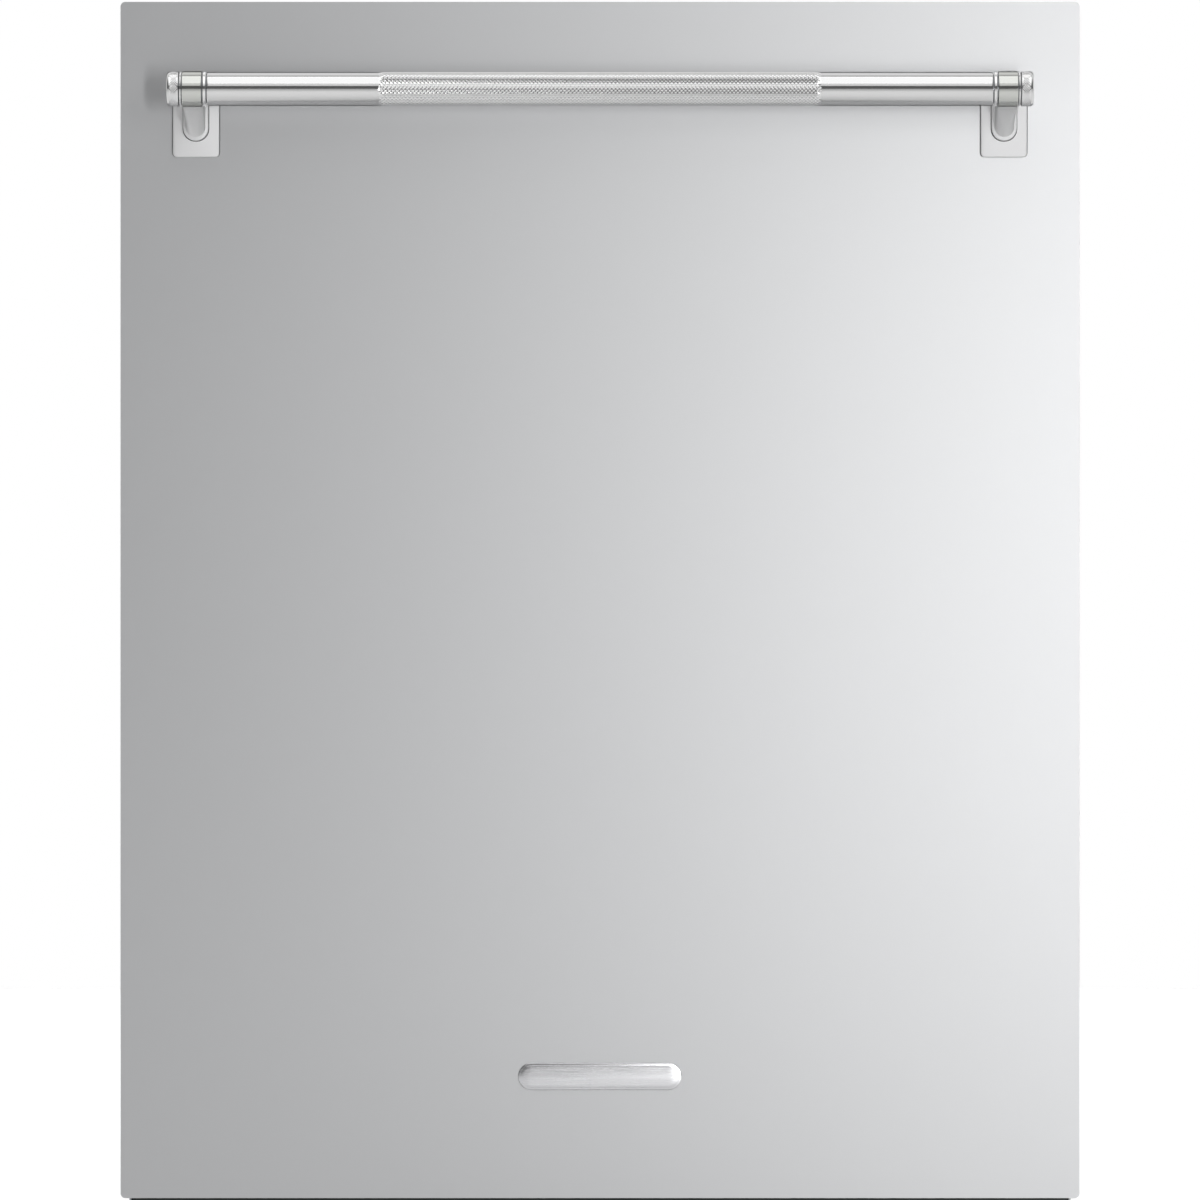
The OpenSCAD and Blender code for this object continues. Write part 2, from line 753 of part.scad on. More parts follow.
module filter_cup() color("lightslategray") {
    cup_z = [100, floor_z + 0.8];
    wall = 1.5;
    rim_z = cup_z[1] + 1.5;
    difference() {
        union() {
            rod_z(cup_z[0], rim_z, cup_at[0], cup_at[1], cup_r);
            rod_z(cup_z[1], rim_z, cup_at[0], cup_at[1], cup_r + 3);
        }
        rod_z(cup_z[0] + wall, rim_z + cut, cup_at[0], cup_at[1], cup_r - wall);
    }
    block([cup_at[0] - cup_r + 1, cup_at[1] - 2.5, cup_z[1]], [cup_at[0] + cup_r - 1, cup_at[1] + 2.5, 160]);
}

module softener_tank() color("whitesmoke") {
    tank_x = [-268, -150];
    tank_y = [90, 210];
    tank_z = [60, floor_z - sheet];
    wall = 3;
    difference() {
        union() {
            block([tank_x[0], tank_y[0], tank_z[0]], [tank_x[1], tank_y[1], tank_z[1]]);
            rod_z(tank_z[1], floor_z, salt_at[0], salt_at[1], salt_r + 1.5);
        }
        block([tank_x[0] + wall, tank_y[0] + wall, tank_z[0] + wall],
              [tank_x[1] - wall, tank_y[1] - wall, tank_z[1] - wall]);
        rod_z(tank_z[1] - wall - cut, floor_z + cut, salt_at[0], salt_at[1], salt_r - 4);
    }
}

module salt_cap() color("lightslategray") {
    cap_z = [floor_z + gap, floor_z + 7];
    rod_z(cap_z[0], cap_z[1], salt_at[0], salt_at[1], salt_r);
    rod_z(floor_z - 8, cap_z[0], salt_at[0], salt_at[1], salt_r - 4.1);
    block([salt_at[0] - 22, salt_at[1] - 4, cap_z[1]], [salt_at[0] + 22, salt_at[1] + 4, cap_z[1] + 5]);
}

module circulation_pump() color("lightgray") {
    volute_r = 46;
    volute_t = 27;
    motor_r = 38;
    motor_y = [circulation_y + volute_t, 285];
    outlet = [32, 18];                    // offset of the delivery port from the axis
    rod_y(circulation_y, motor_y[0], circulation_at[0], circulation_at[1], volute_r);
    rod_y(motor_y[0], motor_y[1], circulation_at[0], circulation_at[1], motor_r);
    rod_y(circulation_y - 12, circulation_y, circulation_at[0] + outlet[0],
          circulation_at[1] + outlet[1], 9);
    for (y = [motor_y[0] + 15, motor_y[1] - 15])
        rod_z(foot_h + 3, circulation_at[1] - motor_r + 8, circulation_at[0], y, 8);
}

module drain_pump() color("gray") {
    volute_r = 30;
    motor_r = 24;
    motor_x = [drain_pump_x - 85, drain_pump_x - 30];
    rod_x(motor_x[1], drain_pump_x, drain_pump_at[0], drain_pump_at[1], volute_r);
    rod_x(motor_x[0], motor_x[1], drain_pump_at[0], drain_pump_at[1], motor_r);
    rod_z(foot_h + 3, drain_pump_at[1] - motor_r + 4, drain_pump_x - 55, drain_pump_at[0], 7);
}

module inlet_valve() color("whitesmoke") {
    body_x = 22;
    body_z = 25;
    body_y = [base_rear - 38, base_rear - 3];
    coil_r = 14;
    coil_h = 30;
    difference() {
        union() {
            block([inlet_at[0] - body_x, body_y[0], inlet_at[1] - body_z],
                  [inlet_at[0] + body_x, body_y[1], inlet_at[1] + body_z]);
            rod_y(body_y[1], base_rear, inlet_at[0], inlet_at[1], inlet_shoulder_r);
            rod_y(base_rear, rear_y, inlet_at[0], inlet_at[1], inlet_r);
            rod_z(inlet_at[1] + body_z, inlet_at[1] + body_z + coil_h, inlet_at[0],
                  (body_y[0] + body_y[1]) / 2, coil_r);
        }
        rod_y(body_y[1] - 7, rear_y + cut, inlet_at[0], inlet_at[1], inlet_r - 4);
    }
}

module terminal_box() color("dimgray") {
    wall = 2;
    box_x = 30;
    box_z = 30;
    y0 = base_rear - 40;
    y1 = base_rear - 3;
    gland_end = base_rear + 12;
    difference() {
        union() {
            block([gland_at[0] - box_x, y0, gland_at[1] - box_z],
                  [gland_at[0] + box_x, y1, gland_at[1] + box_z]);
            rod_y(y1, gland_end, gland_at[0], gland_at[1], gland_r);
        }
        block([gland_at[0] - box_x + wall, y0 + wall, gland_at[1] - box_z + wall],
              [gland_at[0] + box_x - wall, y1 - wall, gland_at[1] + box_z - wall]);
        rod_y(y1 - wall - cut, gland_end + cut, gland_at[0], gland_at[1], gland_bore_r);
    }
}

// Riser under the lower arm, duct along the floor and up the back wall, and its nozzle
module spray_feed_pipe() color("gray") {
    riser_z = [91, floor_z + 16];
    duct_z = [floor_z + 0.5, floor_z + 14];
    floor_duct_x = 12;
    rear_duct_x = 22;
    rear_duct_y = tub_rear - 15;
    nozzle_y = tub_rear - 35;
    nozzle_r = 14;
    wall = 3;
    difference() {
        union() {
            rod_z(riser_z[0], riser_z[1], 0, spray_y, riser_r);
            block([-floor_duct_x, spray_y + 8, duct_z[0]], [floor_duct_x, tub_rear, duct_z[1]]);
            block([-rear_duct_x, rear_duct_y, duct_z[0]], [rear_duct_x, tub_rear, upper_pipe_z + 22]);
            rod_y(nozzle_y, rear_duct_y, 0, upper_pipe_z, nozzle_r);
        }
        rod_z(riser_z[0] - cut, riser_z[1] - 8, 0, spray_y, riser_r - wall);
        rod_y(nozzle_y - cut, rear_duct_y + 10, 0, upper_pipe_z, nozzle_r - wall);
    }
    rod_z(riser_z[1], riser_z[1] + 18.2, 0, spray_y, arm_pin_r);
    rod_z(riser_z[1] + 18, riser_z[1] + 23, 0, spray_y, arm_nut_r);
}

module lower_spray_arm() color("silver") spray_arm(lower_arm_r, floor_z + 16.4);

module upper_spray_arm() color("silver") spray_arm(upper_arm_r, upper_pipe_z - 28);

module upper_manifold() color("gray") {
    hub_bottom = upper_pipe_z - 10;
    nozzle_y = tub_rear - 36;
    hub_top = upper_floor - weld;
    rod_y(spray_y, nozzle_y, 0, upper_pipe_z, 9);
    rod_y(nozzle_y - 10, nozzle_y, 0, upper_pipe_z, 11.5);
    rod_z(hub_bottom, hub_top, 0, spray_y, arm_hub_r - 1);
    rod_z(hub_bottom - 19, hub_bottom, 0, spray_y, arm_pin_r);
    rod_z(hub_bottom - 24, hub_bottom - 18.8, 0, spray_y, arm_nut_r);
}

// ---------- racks ----------

// Fixed runner on the tub's side wall, open towards the middle
module channel(x0, z, half_h, groove_half) difference() {
    web = 4;
    block([x0, rail_y[0], z - half_h], [tub_x, rail_y[1], z + half_h]);
    block([x0 - cut, rail_y[0] - cut, z - groove_half], [tub_x - web, rail_y[1] + cut, z + groove_half]);
}

module rack_rails() color("silver") both_sides() {
    channel(262, rail_z, 15, 12);
    channel(264, tray_rail_z, 8, 4.5);
}

module upper_runners() color("silver") both_sides() difference() {
    runner_x = [256, 270];
    runner_y = [rail_y[0] + 2, rail_y[1] - 3];
    half_h = 11;
    wall = 4;
    block([runner_x[0], runner_y[0], rail_z - half_h], [runner_x[1], runner_y[1], rail_z + half_h]);
    block([runner_x[0] - cut, runner_y[0] - cut, rail_z - half_h + wall],
          [runner_x[1] - wall, runner_y[1] + cut, rail_z + half_h - wall]);
}

// Flat bar grip in front of a rack's front wall
module rack_handle(half_x, front, depth, z)
    block([-half_x, front - depth, z], [half_x, front - weld, z + 12]);

module upper_rack() color("lightsteelblue") {
    slide_x = [246, 264];
    slide_half = 6;
    wall_h = 88;
    tine_h = 50;
    handle_x = 90;
    basket(upper_x, upper_front, upper_rear, upper_floor, wall_h);
    both_sides() {
        block([slide_x[0], upper_front, rail_z - slide_half],
              [slide_x[1], upper_rear + 2, rail_z + slide_half]);
        for (y = [-100, 150])
            block([upper_x + weld, y, rail_z - slide_half], [slide_x[0], y + 20, rail_z + slide_half]);
    }
    for (y = [-60, 20, 100])
        tine_comb(-100, 120, y, upper_floor + wire + weld, upper_floor + tine_h, 40);
    rack_handle(handle_x, upper_front, 8, upper_floor + wall_h - 8);
}

module cup_shelf() {
    inner_x = 142;
    y0 = -130;
    y1 = 90;
    grid_floor(inner_x, shelf_axis_x - 1, y0, y1, shelf_z - wire / 2);
    rod_y(y0, y1, shelf_axis_x, shelf_z, wire / 2);
}

module cup_shelf_left() color("slategray") mirror([1, 0, 0]) cup_shelf();

module cup_shelf_right() color("slategray") cup_shelf();

module lower_rack() color("lightsteelblue") {
    leg_half = 12;
    wall_h = 87;
    tine_h = 85;
    handle_x = 110;
    basket(lower_x, rack_front, lower_rear, lower_floor, wall_h);
    both_sides() for (y = [front_axle_y, rear_axle_y]) {
        block([lower_x - wire, y - leg_half, axle_z - 10], [lower_x, y + leg_half, lower_floor - weld]);
        rod_x(lower_x, wheel_x[1] + 1, y, axle_z, axle_r);
    }
    for (y = [20, 80, 140, 200])
        tine_comb(20, 220, y, lower_floor + wire + weld, lower_floor + tine_h, 32);
    rack_handle(handle_x, rack_front, 9, lower_floor + wall_h - 7);
}

module folding_tines() color("lightsteelblue") {
    rod_end = [-222, -8];
    rod_r = 2.5;
    tine_h = 78;
    rod_x(rod_end[0], rod_end[1], tine_y, tine_z, rod_r);
    for (x = [rod_end[0] + 8:32:rod_end[1] - wire])
        rod_z(tine_z, tine_z + tine_h, x, tine_y, wire / 2);
}

module wheel_pair(y) both_sides() difference() {
    rod_x(wheel_x[0], wheel_x[1], y, axle_z, wheel_r);
    rod_x(wheel_x[0] - cut, wheel_x[1] + cut, y, axle_z, axle_r + 0.08);
}

module front_wheels() color("slategray") wheel_pair(front_axle_y);

module rear_wheels() color("slategray") wheel_pair(rear_axle_y);

module cutlery_tray() color("lightsteelblue") {
    guide_x = tub_x - 5;
    guide_half = 3;
    divider_x = 78;
    wall_h = 34;
    handle_x = 80;
    basket(upper_x, upper_front, upper_rear, tray_floor, wall_h);
    both_sides() {
        block([upper_x + weld, upper_front + 4, tray_rail_z - guide_half],
              [guide_x, upper_rear, tray_rail_z + guide_half]);
        grid_along(divider_x, upper_front + wire + weld, upper_rear - wire - weld,
                   tray_floor + wire + weld, tray_floor + wall_h - 4);
    }
    rack_handle(handle_x, upper_front, 8, tray_floor + wall_h - 12);
}

front_panel();
door_frame();
door_liner();
door_lip_seal();
control_fascia();
display_window();
power_button();
programme_button();
start_button();
control_board();
dispenser_body();
dispenser_lid();
rinse_aid_cap();
handle_bar();
handle_bracket_left();
handle_bracket_right();
handle_collars();
handle_end_caps();
handle_screws();
name_badge();
hinge_arms();
hinge_brackets();
balance_springs();
base_tray();
toe_kick();
tub_wrap();
tub_back();
tub_floor();
tub_gasket();
side_panel_left();
side_panel_right();
insulation_blanket();
worktop_brackets();
latch_hook();
sump();
filter_plate();
filter_cup();
softener_tank();
salt_cap();
circulation_pump();
drain_pump();
inlet_valve();
terminal_box();
spray_feed_pipe();
lower_spray_arm();
upper_spray_arm();
upper_manifold();
rack_rails();
upper_runners();
upper_rack();
cup_shelf_left();
cup_shelf_right();
lower_rack();
folding_tines();
front_wheels();
rear_wheels();
cutlery_tray();
foot_front_left();
foot_front_right();
rear_feet();
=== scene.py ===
import json
import math

import bpy
import numpy as np
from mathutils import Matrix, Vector


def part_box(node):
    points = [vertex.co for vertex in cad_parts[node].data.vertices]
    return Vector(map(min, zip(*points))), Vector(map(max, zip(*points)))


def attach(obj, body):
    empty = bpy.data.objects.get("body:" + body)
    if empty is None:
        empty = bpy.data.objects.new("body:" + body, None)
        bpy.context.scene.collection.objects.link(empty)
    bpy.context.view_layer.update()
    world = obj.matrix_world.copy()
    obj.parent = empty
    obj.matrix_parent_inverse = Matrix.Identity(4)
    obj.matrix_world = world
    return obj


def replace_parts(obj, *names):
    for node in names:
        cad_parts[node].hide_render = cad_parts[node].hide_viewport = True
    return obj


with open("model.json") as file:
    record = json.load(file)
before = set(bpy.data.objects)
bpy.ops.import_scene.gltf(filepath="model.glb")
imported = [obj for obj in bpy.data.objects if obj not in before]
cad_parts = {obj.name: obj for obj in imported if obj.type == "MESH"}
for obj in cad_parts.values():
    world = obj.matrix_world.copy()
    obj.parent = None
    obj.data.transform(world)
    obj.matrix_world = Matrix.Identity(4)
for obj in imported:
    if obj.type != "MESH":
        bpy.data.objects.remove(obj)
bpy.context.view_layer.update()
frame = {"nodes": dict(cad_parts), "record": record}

MM = 0.001
SHEET = 0.9 * MM  # thickness of the pressed liner and tub back
NODES = frame["nodes"]
NODE_BODY = {n: body for body, names in frame["record"]["behaviour"]["bodies"].items() for n in names}
NODE_SLOT = {s["node"]: s["material_slot"] for s in frame["record"]["subparts"]}


# ---------- mesh building ----------

def new_object(name, data):
    """A new object, linked to the scene."""
    obj = bpy.data.objects.new(name, data)
    bpy.context.scene.collection.objects.link(obj)
    return obj


class Shape:
    """Collects vertices and faces of one piece."""

    def __init__(self):
        self.verts = []
        self.faces = []

    def add(self, verts, faces):
        base = len(self.verts)
        self.verts += [tuple(v) for v in verts]
        self.faces += [tuple(base + i for i in f) for f in faces]
        return self

    def turn(self, *args, **options):
        return self.add(*lathe(*args, **options))

    def block(self, *args):
        return self.add(*block(*args))

    def wire(self, *args):
        return self.add(*tube(*args))

    def slab(self, *args, **options):
        return self.add(*cushion_slab(*args, **options))

    def mirrored(self):
        """Adds the same again on the other side of the middle plane x = 0."""
        flipped = [(-x, y, z) for x, y, z in self.verts]
        return self.add(flipped, [f[::-1] for f in self.faces])

    def piece(self, name, node, material, sharp=40):
        """Makes the object, which rides with its node's body and takes the given material."""
        mesh = bpy.data.meshes.new(name)
        mesh.from_pydata(self.verts, [], self.faces)
        mesh.validate()
        mesh.shade_smooth()
        mesh.set_sharp_from_angle(angle=math.radians(sharp))
        mesh.materials.append(material)
        obj = new_object(name, mesh)
        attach(obj, NODE_BODY[node])
        return obj

    def stand_in(self, name, node, material, sharp=40):
        """Makes the object and lets it take the place of its CAD node."""
        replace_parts(self.piece(name, node, material, sharp), node)


def middle_of(node):
    """Middle of a CAD node's box, as x, y, z."""
    return [(a + b) / 2 for a, b in zip(*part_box(node))]


def distinct(face):
    """A face without its repeated corners."""
    return [v for n, v in enumerate(face) if v not in face[:n]]


def ring_quads(rings, sides):
    """Faces between closed rings of points, which are numbered one ring after the other."""
    faces = []
    for i in range(rings - 1):
        for j in range(sides):
            k = (j + 1) % sides
            faces.append((i * sides + j, i * sides + k, (i + 1) * sides + k, (i + 1) * sides + j))
    return faces


AXES = {"x": (0, 1, 2), "y": (1, 2, 0), "z": (2, 0, 1)}


def lathe(profile, centre, axis="x", sides=64, bumps=None):
    """A surface turned about an axis through centre. profile holds (distance along the axis, radius)
    from one end to the other. A radius of 0 closes that end. bumps(i, j) may add to the radius."""
    a, b, c = AXES[axis]
    verts, rings = [], []
    for i, (s, r) in enumerate(profile):
        ring = []
        for j in range(sides if r > 0 else 1):
            out = r + (bumps(i, j) if bumps and r > 0 else 0)
            t = 2 * math.pi * j / sides
            v = list(centre)
            v[a] += s
            v[b] += out * math.cos(t)
            v[c] += out * math.sin(t)
            ring.append(len(verts))
            verts.append(v)
        rings.append(ring if r > 0 else ring * sides)
    faces = []
    for r0, r1 in zip(rings, rings[1:]):
        for j in range(sides):
            k = (j + 1) % sides
            face = distinct([r0[j], r0[k], r1[k], r1[j]])
            if len(face) > 2:
                faces.append(face)
    return verts, faces


def quarter_turn(steps):
    """Angles from 0 to a right angle."""
    return [math.pi / 2 * k / steps for k in range(steps + 1)]


def rounded_profile(s0, s1, r, edge, inner=0.0):
    """Profile of a turned disc or collar from s0 to s1 with round outer edges of radius edge."""
    arc = [(edge * (1 - math.cos(t)), r - edge * (1 - math.sin(t))) for t in quarter_turn(4)]
    arc.append((1.1 * edge, r))  # a ring close by keeps the shading of the straight part even
    return ([(s0, inner)] + [(s0 + along, out) for along, out in arc]
            + [(s1 - along, out) for along, out in arc[::-1]] + [(s1, inner)])


def block(lo, hi, edge, steps=2):
    """A box with rounded edges. Each of its six sides is a grid that wraps halfway round its edges."""
    lo, hi = np.array(lo, float), np.array(hi, float)
    lo, hi = np.minimum(lo, hi), np.maximum(lo, hi)
    edge = min(edge, 0.49 * float((hi - lo).min()))
    inner_lo, inner_hi = lo + edge, hi - edge
    angles = [math.pi / 4 * k / steps for k in range(-steps, steps + 1)]
    ticks = [math.tan(t) for t in angles]
    lines = [(t, -1) for t in ticks[:steps + 1]] + [(t, 1) for t in ticks[steps:]]
    verts, index, faces = [], {}, []

    def vertex(direction, corner):
        d = np.array(direction, float)
        d /= np.linalg.norm(d)
        p = np.where(np.array(corner) > 0, inner_hi, inner_lo) + d * edge
        key = tuple(np.round(p, 7))
        if key not in index:
            index[key] = len(verts)
            verts.append(tuple(p))
        return index[key]

    for a in range(3):
        b, c = (a + 1) % 3, (a + 2) % 3
        for s in (-1, 1):
            grid = []
            for tb, cb in lines:
                row = []
                for tc, cc in lines:
                    direction, corner = [0, 0, 0], [0, 0, 0]
                    direction[a], direction[b], direction[c] = s, tb, tc
                    corner[a], corner[b], corner[c] = s, cb, cc
                    row.append(vertex(direction, corner))
                grid.append(row)
            for i in range(len(lines) - 1):
                for j in range(len(lines) - 1):
                    face = distinct([grid[i][j], grid[i + 1][j], grid[i + 1][j + 1], grid[i][j + 1]])
                    if len(face) > 2:
                        faces.append(face if s > 0 else face[::-1])
    return verts, faces


def bent(points, radius, steps=4):
    """The points of a wire's route, with each corner rounded."""
    pts = [Vector(p) for p in points]
    out = [pts[0]]
    for before, at, after in zip(pts, pts[1:], pts[2:]):
        u, v = (before - at), (after - at)
        cut = min(radius, 0.45 * u.length, 0.45 * v.length)
        a, b = at + u.normalized() * cut, at + v.normalized() * cut
        for k in range(steps + 1):
            t = k / steps
            out.append(a * (1 - t) ** 2 + at * (2 * t * (1 - t)) + b * t ** 2)
    return out + [pts[-1]]


def tube(points, radius, sides=8):
    """A round wire along points, with closed, slightly domed ends."""
    pts = [Vector(p) for p in points]
    n = len(pts)
    tangents = [(pts[min(i + 1, n - 1)] - pts[max(i - 1, 0)]).normalized() for i in range(n)]
    up = Vector((0, 0, 1)) if abs(tangents[0].z) < 0.9 else Vector((1, 0, 0))
    side = tangents[0].cross(up).normalized()
    verts = []
    for p, t in zip(pts, tangents):
        side = (side - t * side.dot(t)).normalized()
        other = t.cross(side)
        for j in range(sides):
            a = 2 * math.pi * j / sides
            verts.append(p + side * (radius * math.cos(a)) + other * (radius * math.sin(a)))
    faces = ring_quads(n, sides)
    for ring, t, end, flip in ((0, tangents[0], pts[0], -1), (n - 1, tangents[-1], pts[-1], 1)):
        tip = len(verts)
        verts.append(end + t * (flip * radius * 0.4))
        for j in range(sides):
            k = (j + 1) % sides
            f = (ring * sides + j, ring * sides + k, tip)
            faces.append(f if flip > 0 else f[::-1])
    return verts, faces


def loft(sections):
    """A closed form through outlines that all have the same number of points."""
    n = len(sections[0])
    verts = [p for s in sections for p in s]
    faces = ring_quads(len(sections), n)
    faces.append(tuple(range(n))[::-1])
    faces.append(tuple((len(sections) - 1) * n + j for j in range(n)))
    return verts, faces


def round_rect(w, h, r):
    """Points of a rectangle with round corners, centred, as (u, v), anticlockwise."""
    steps = 6
    pts = []
    for cx, cy, start in ((1, 1, 0), (-1, 1, 90), (-1, -1, 180), (1, -1, 270)):
        for k in range(steps + 1):
            t = math.radians(start + 90 * k / steps)
            pts.append((cx * (w / 2 - r) + r * math.cos(t), cy * (h / 2 - r) + r * math.sin(t)))
    return pts


def cushion_slab(w, h, r, centre, y_back, y_front, edge, dome=0.0):
    """An upright plate with round corners and rounded front edges. It faces -Y, and its front
    rises by dome towards the middle."""
    cx, cz = centre
    sections = [[(cx + u, y_back, cz + v) for u, v in round_rect(w, h, r)]]
    for t in quarter_turn(3):
        inset = edge * (1 - math.cos(t))
        y = y_front + edge * (1 - math.sin(t))
        sections.append([(cx + u, y, cz + v)
                         for u, v in round_rect(w - 2 * inset, h - 2 * inset, max(r - inset, 0.0002))])
    if dome:
        for k in range(1, 4):
            share = k / 4
            inset = edge + share * min(w, h) * 0.45
            rr = max(r - inset, 0.0004)
            sections.append([(cx + u, y_front - dome * math.sin(share * math.pi / 2), cz + v)
                             for u, v in round_rect(w - 2 * inset, max(h - 2 * inset, 2 * rr), rr)])
    verts, faces = loft(sections)
    return verts, [f[::-1] for f in faces]


def lines_between(marks, step):
    """Grid lines through all marks, with none further apart than step."""
    out = []
    for a, b in zip(marks, marks[1:]):
        n = max(1, round((b - a) / step))
        out += [a + (b - a) * k / n for k in range(n)]
    return out + [marks[-1]]


def pressed_sheet(us, vs, place, height, hole=None):
    """A pressed metal sheet. place(u, v, h) gives the point, height(u, v) the depth pressed,
    and hole(u, v) is True where the sheet is cut away. The back is a second skin."""
    verts, index, faces = [], {}, []

    def vertex(i, j, back):
        key = (i, j, back)
        if key not in index:
            index[key] = len(verts)
            verts.append(place(us[i], vs[j], height(us[i], vs[j]) - (SHEET if back else 0)))
        return index[key]

    solid = {(i, j) for i in range(len(us) - 1) for j in range(len(vs) - 1)
             if not (hole and hole((us[i] + us[i + 1]) / 2, (vs[j] + vs[j + 1]) / 2))}
    for i, j in sorted(solid):
        front = [vertex(i, j, 0), vertex(i + 1, j, 0), vertex(i + 1, j + 1, 0), vertex(i, j + 1, 0)]
        back = [vertex(i, j, 1), vertex(i + 1, j, 1), vertex(i + 1, j + 1, 1), vertex(i, j + 1, 1)]
        faces.append(front)
        faces.append(back[::-1])
        for (di, dj), (p, q) in (((0, -1), (0, 1)), ((1, 0), (1, 2)), ((0, 1), (2, 3)), ((-1, 0), (3, 0))):
            if (i + di, j + dj) not in solid:
                faces.append([front[q], front[p], back[p], back[q]])
    return verts, [f[::-1] for f in faces]


def step_up(distance, slope):
    """0 outside, 1 inside, with a smooth rise over slope."""
    t = min(1.0, max(0.0, distance / slope))
    return t * t * (3 - 2 * t)


def in_round_rect(u, v, w, h, r):
    """Distance inside the edge of a centred rectangle with round corners, negative outside."""
    qx, qy = abs(u) - (w / 2 - r), abs(v) - (h / 2 - r)
    outside = math.hypot(max(qx, 0), max(qy, 0))
    return r - (outside + min(max(qx, qy), 0))


# ---------- materials ----------

NOISE, CELLS = "ShaderNodeTexNoise", "ShaderNodeTexVoronoi"
LOW, HIGH = 0.3, 0.7  # nearly all of a noise pattern lies between these


class Look:
    """A Principled material and the nodes that drive it."""

    def __init__(self, name, colour, rough, metal=0.0, **sockets):
        self.mat = bpy.data.materials.new(name)
        self.mat.use_nodes = True
        self.tree = self.mat.node_tree
        self.shader = next(n for n in self.tree.nodes if n.type == "BSDF_PRINCIPLED")
        self.colour = colour
        self.set("Base Color", (*colour, 1))
        self.set("Roughness", rough)
        self.set("Metallic", metal)
        for socket, value in sockets.items():
            self.set(socket.replace("_", " "), value)
        self.coords = self.tree.nodes.new("ShaderNodeTexCoord")
        self.normal = None

    def set(self, socket, value):
        self.shader.inputs[socket].default_value = value

    def node(self, kind, **inputs):
        n = self.tree.nodes.new(kind)
        for k, v in inputs.items():
            n.inputs[k.replace("_", " ")].default_value = v
        return n

    def link(self, a, b):
        self.tree.links.new(a, b)

    def pattern(self, kind, scale, stretch=(1, 1, 1), **inputs):
        """A texture in the object's own coordinates, stretched along its axes."""
        mapping = self.node("ShaderNodeMapping", Scale=stretch)
        self.link(self.coords.outputs["Object"], mapping.inputs["Vector"])
        tex = self.node(kind, Scale=scale, **inputs)
        self.link(mapping.outputs["Vector"], tex.inputs["Vector"])
        return tex.outputs["Distance" if kind == CELLS else 0]

    def spread(self, value, low, high, socket):
        """Maps a pattern's usual range onto low to high and plugs it into a socket."""
        ramp = self.node("ShaderNodeMapRange", From_Min=LOW, From_Max=HIGH, To_Min=low, To_Max=high)
        self.link(value, ramp.inputs["Value"])
        self.link(ramp.outputs["Result"], self.shader.inputs[socket])
        return self

    def tint(self, value, dark, light):
        """Mixes two shades of the base colour by a pattern."""
        ramp = self.tree.nodes.new("ShaderNodeValToRGB")
        for end, position, factor in zip(ramp.color_ramp.elements, (LOW, HIGH), (dark, light)):
            end.position = position
            end.color = (*[min(1, c * factor) for c in self.colour], 1)
        self.link(value, ramp.inputs["Fac"])
        self.link(ramp.outputs["Color"], self.shader.inputs["Base Color"])
        return self

    def bump(self, value, strength, distance):
        node = self.node("ShaderNodeBump", Strength=strength, Distance=distance)
        self.link(value, node.inputs["Height"])
        if self.normal:
            self.link(self.normal, node.inputs["Normal"])
        self.normal = node.outputs["Normal"]
        self.link(self.normal, self.shader.inputs["Normal"])
        return self


def brushed(name, colour, rough, stretch, depth=0.00002, spread=0.03, shade=0.03, **sockets):
    """Metal with a fine grain. stretch gives how fine the grain is along each axis."""
    look = Look(name, colour, rough, 1.0, **sockets)
    grain = look.pattern(NOISE, 1.0, stretch, Detail=3.0, Roughness=0.6)
    cloud = look.pattern(NOISE, 3.0, Detail=2.0)
    look.spread(grain, rough - spread, rough + spread, "Roughness")
    look.tint(cloud, 1 - shade, 1 + shade)
    return look.bump(grain, 0.25, depth).mat


def moulded(name, colour, rough, grain=1400.0):
    """Moulded plastic with a fine spark-eroded grain."""
    look = Look(name, colour, rough)
    fine = look.pattern(NOISE, grain, Detail=2.0)
    cloud = look.pattern(NOISE, 14.0, Detail=3.0)
    look.spread(cloud, rough - 0.05, rough + 0.05, "Roughness")
    look.tint(cloud, 0.95, 1.05)
    return look.bump(fine, 0.3, 0.00004).mat


def galvanised(name, colour, rough=0.42):
    """Zinc coated sheet: large faint crystals and small scratches."""
    look = Look(name, colour, rough, 1.0)
    crystals = look.pattern(CELLS, 160.0)
    scratches = look.pattern(NOISE, 1.0, (900, 60, 60), Detail=4.0)
    look.spread(crystals, rough - 0.03, rough + 0.03, "Roughness")
    look.tint(crystals, 0.96, 1.03)
    return look.bump(scratches, 0.15, 0.00003).mat


def polished(name, colour, rough=0.06):
    look = Look(name, colour, rough, 1.0)
    cloud = look.pattern(NOISE, 60.0, Detail=3.0)
    haze = look.pattern(NOISE, 1.0, (300, 2000, 2000), Detail=2.0)
    look.spread(cloud, rough, rough + 0.05, "Roughness")
    look.tint(cloud, 0.97, 1.02)
    return look.bump(haze, 0.06, 0.00001).mat


def felted(name, colour):
    look = Look(name, colour, 0.95, Sheen_Weight=0.4, Sheen_Roughness=0.6)
    fibres = look.pattern(NOISE, 900.0, (1, 1, 1), Detail=6.0, Roughness=0.8)
    lumps = look.pattern(NOISE, 45.0, Detail=4.0)
    look.tint(fibres, 0.45, 1.9)
    return look.bump(lumps, 0.5, 0.002).bump(fibres, 0.7, 0.0006).mat


def rubbery(name, colour):
    look = Look(name, colour, 0.62)
    fine = look.pattern(NOISE, 1.0, (40, 900, 900), Detail=3.0)
    dust = look.pattern(NOISE, 30.0, Detail=4.0)
    look.spread(dust, 0.55, 0.72, "Roughness")
    look.tint(dust, 0.8, 1.25)
    return look.bump(fine, 0.2, 0.00008).mat


def circuit(name):
    look = Look(name, (0.012, 0.12, 0.05), 0.35, Coat_Weight=0.5)
    tracks = look.pattern(CELLS, 260.0)
    look.tint(tracks, 0.5, 2.2)
    return look.bump(tracks, 0.4, 0.00005).mat


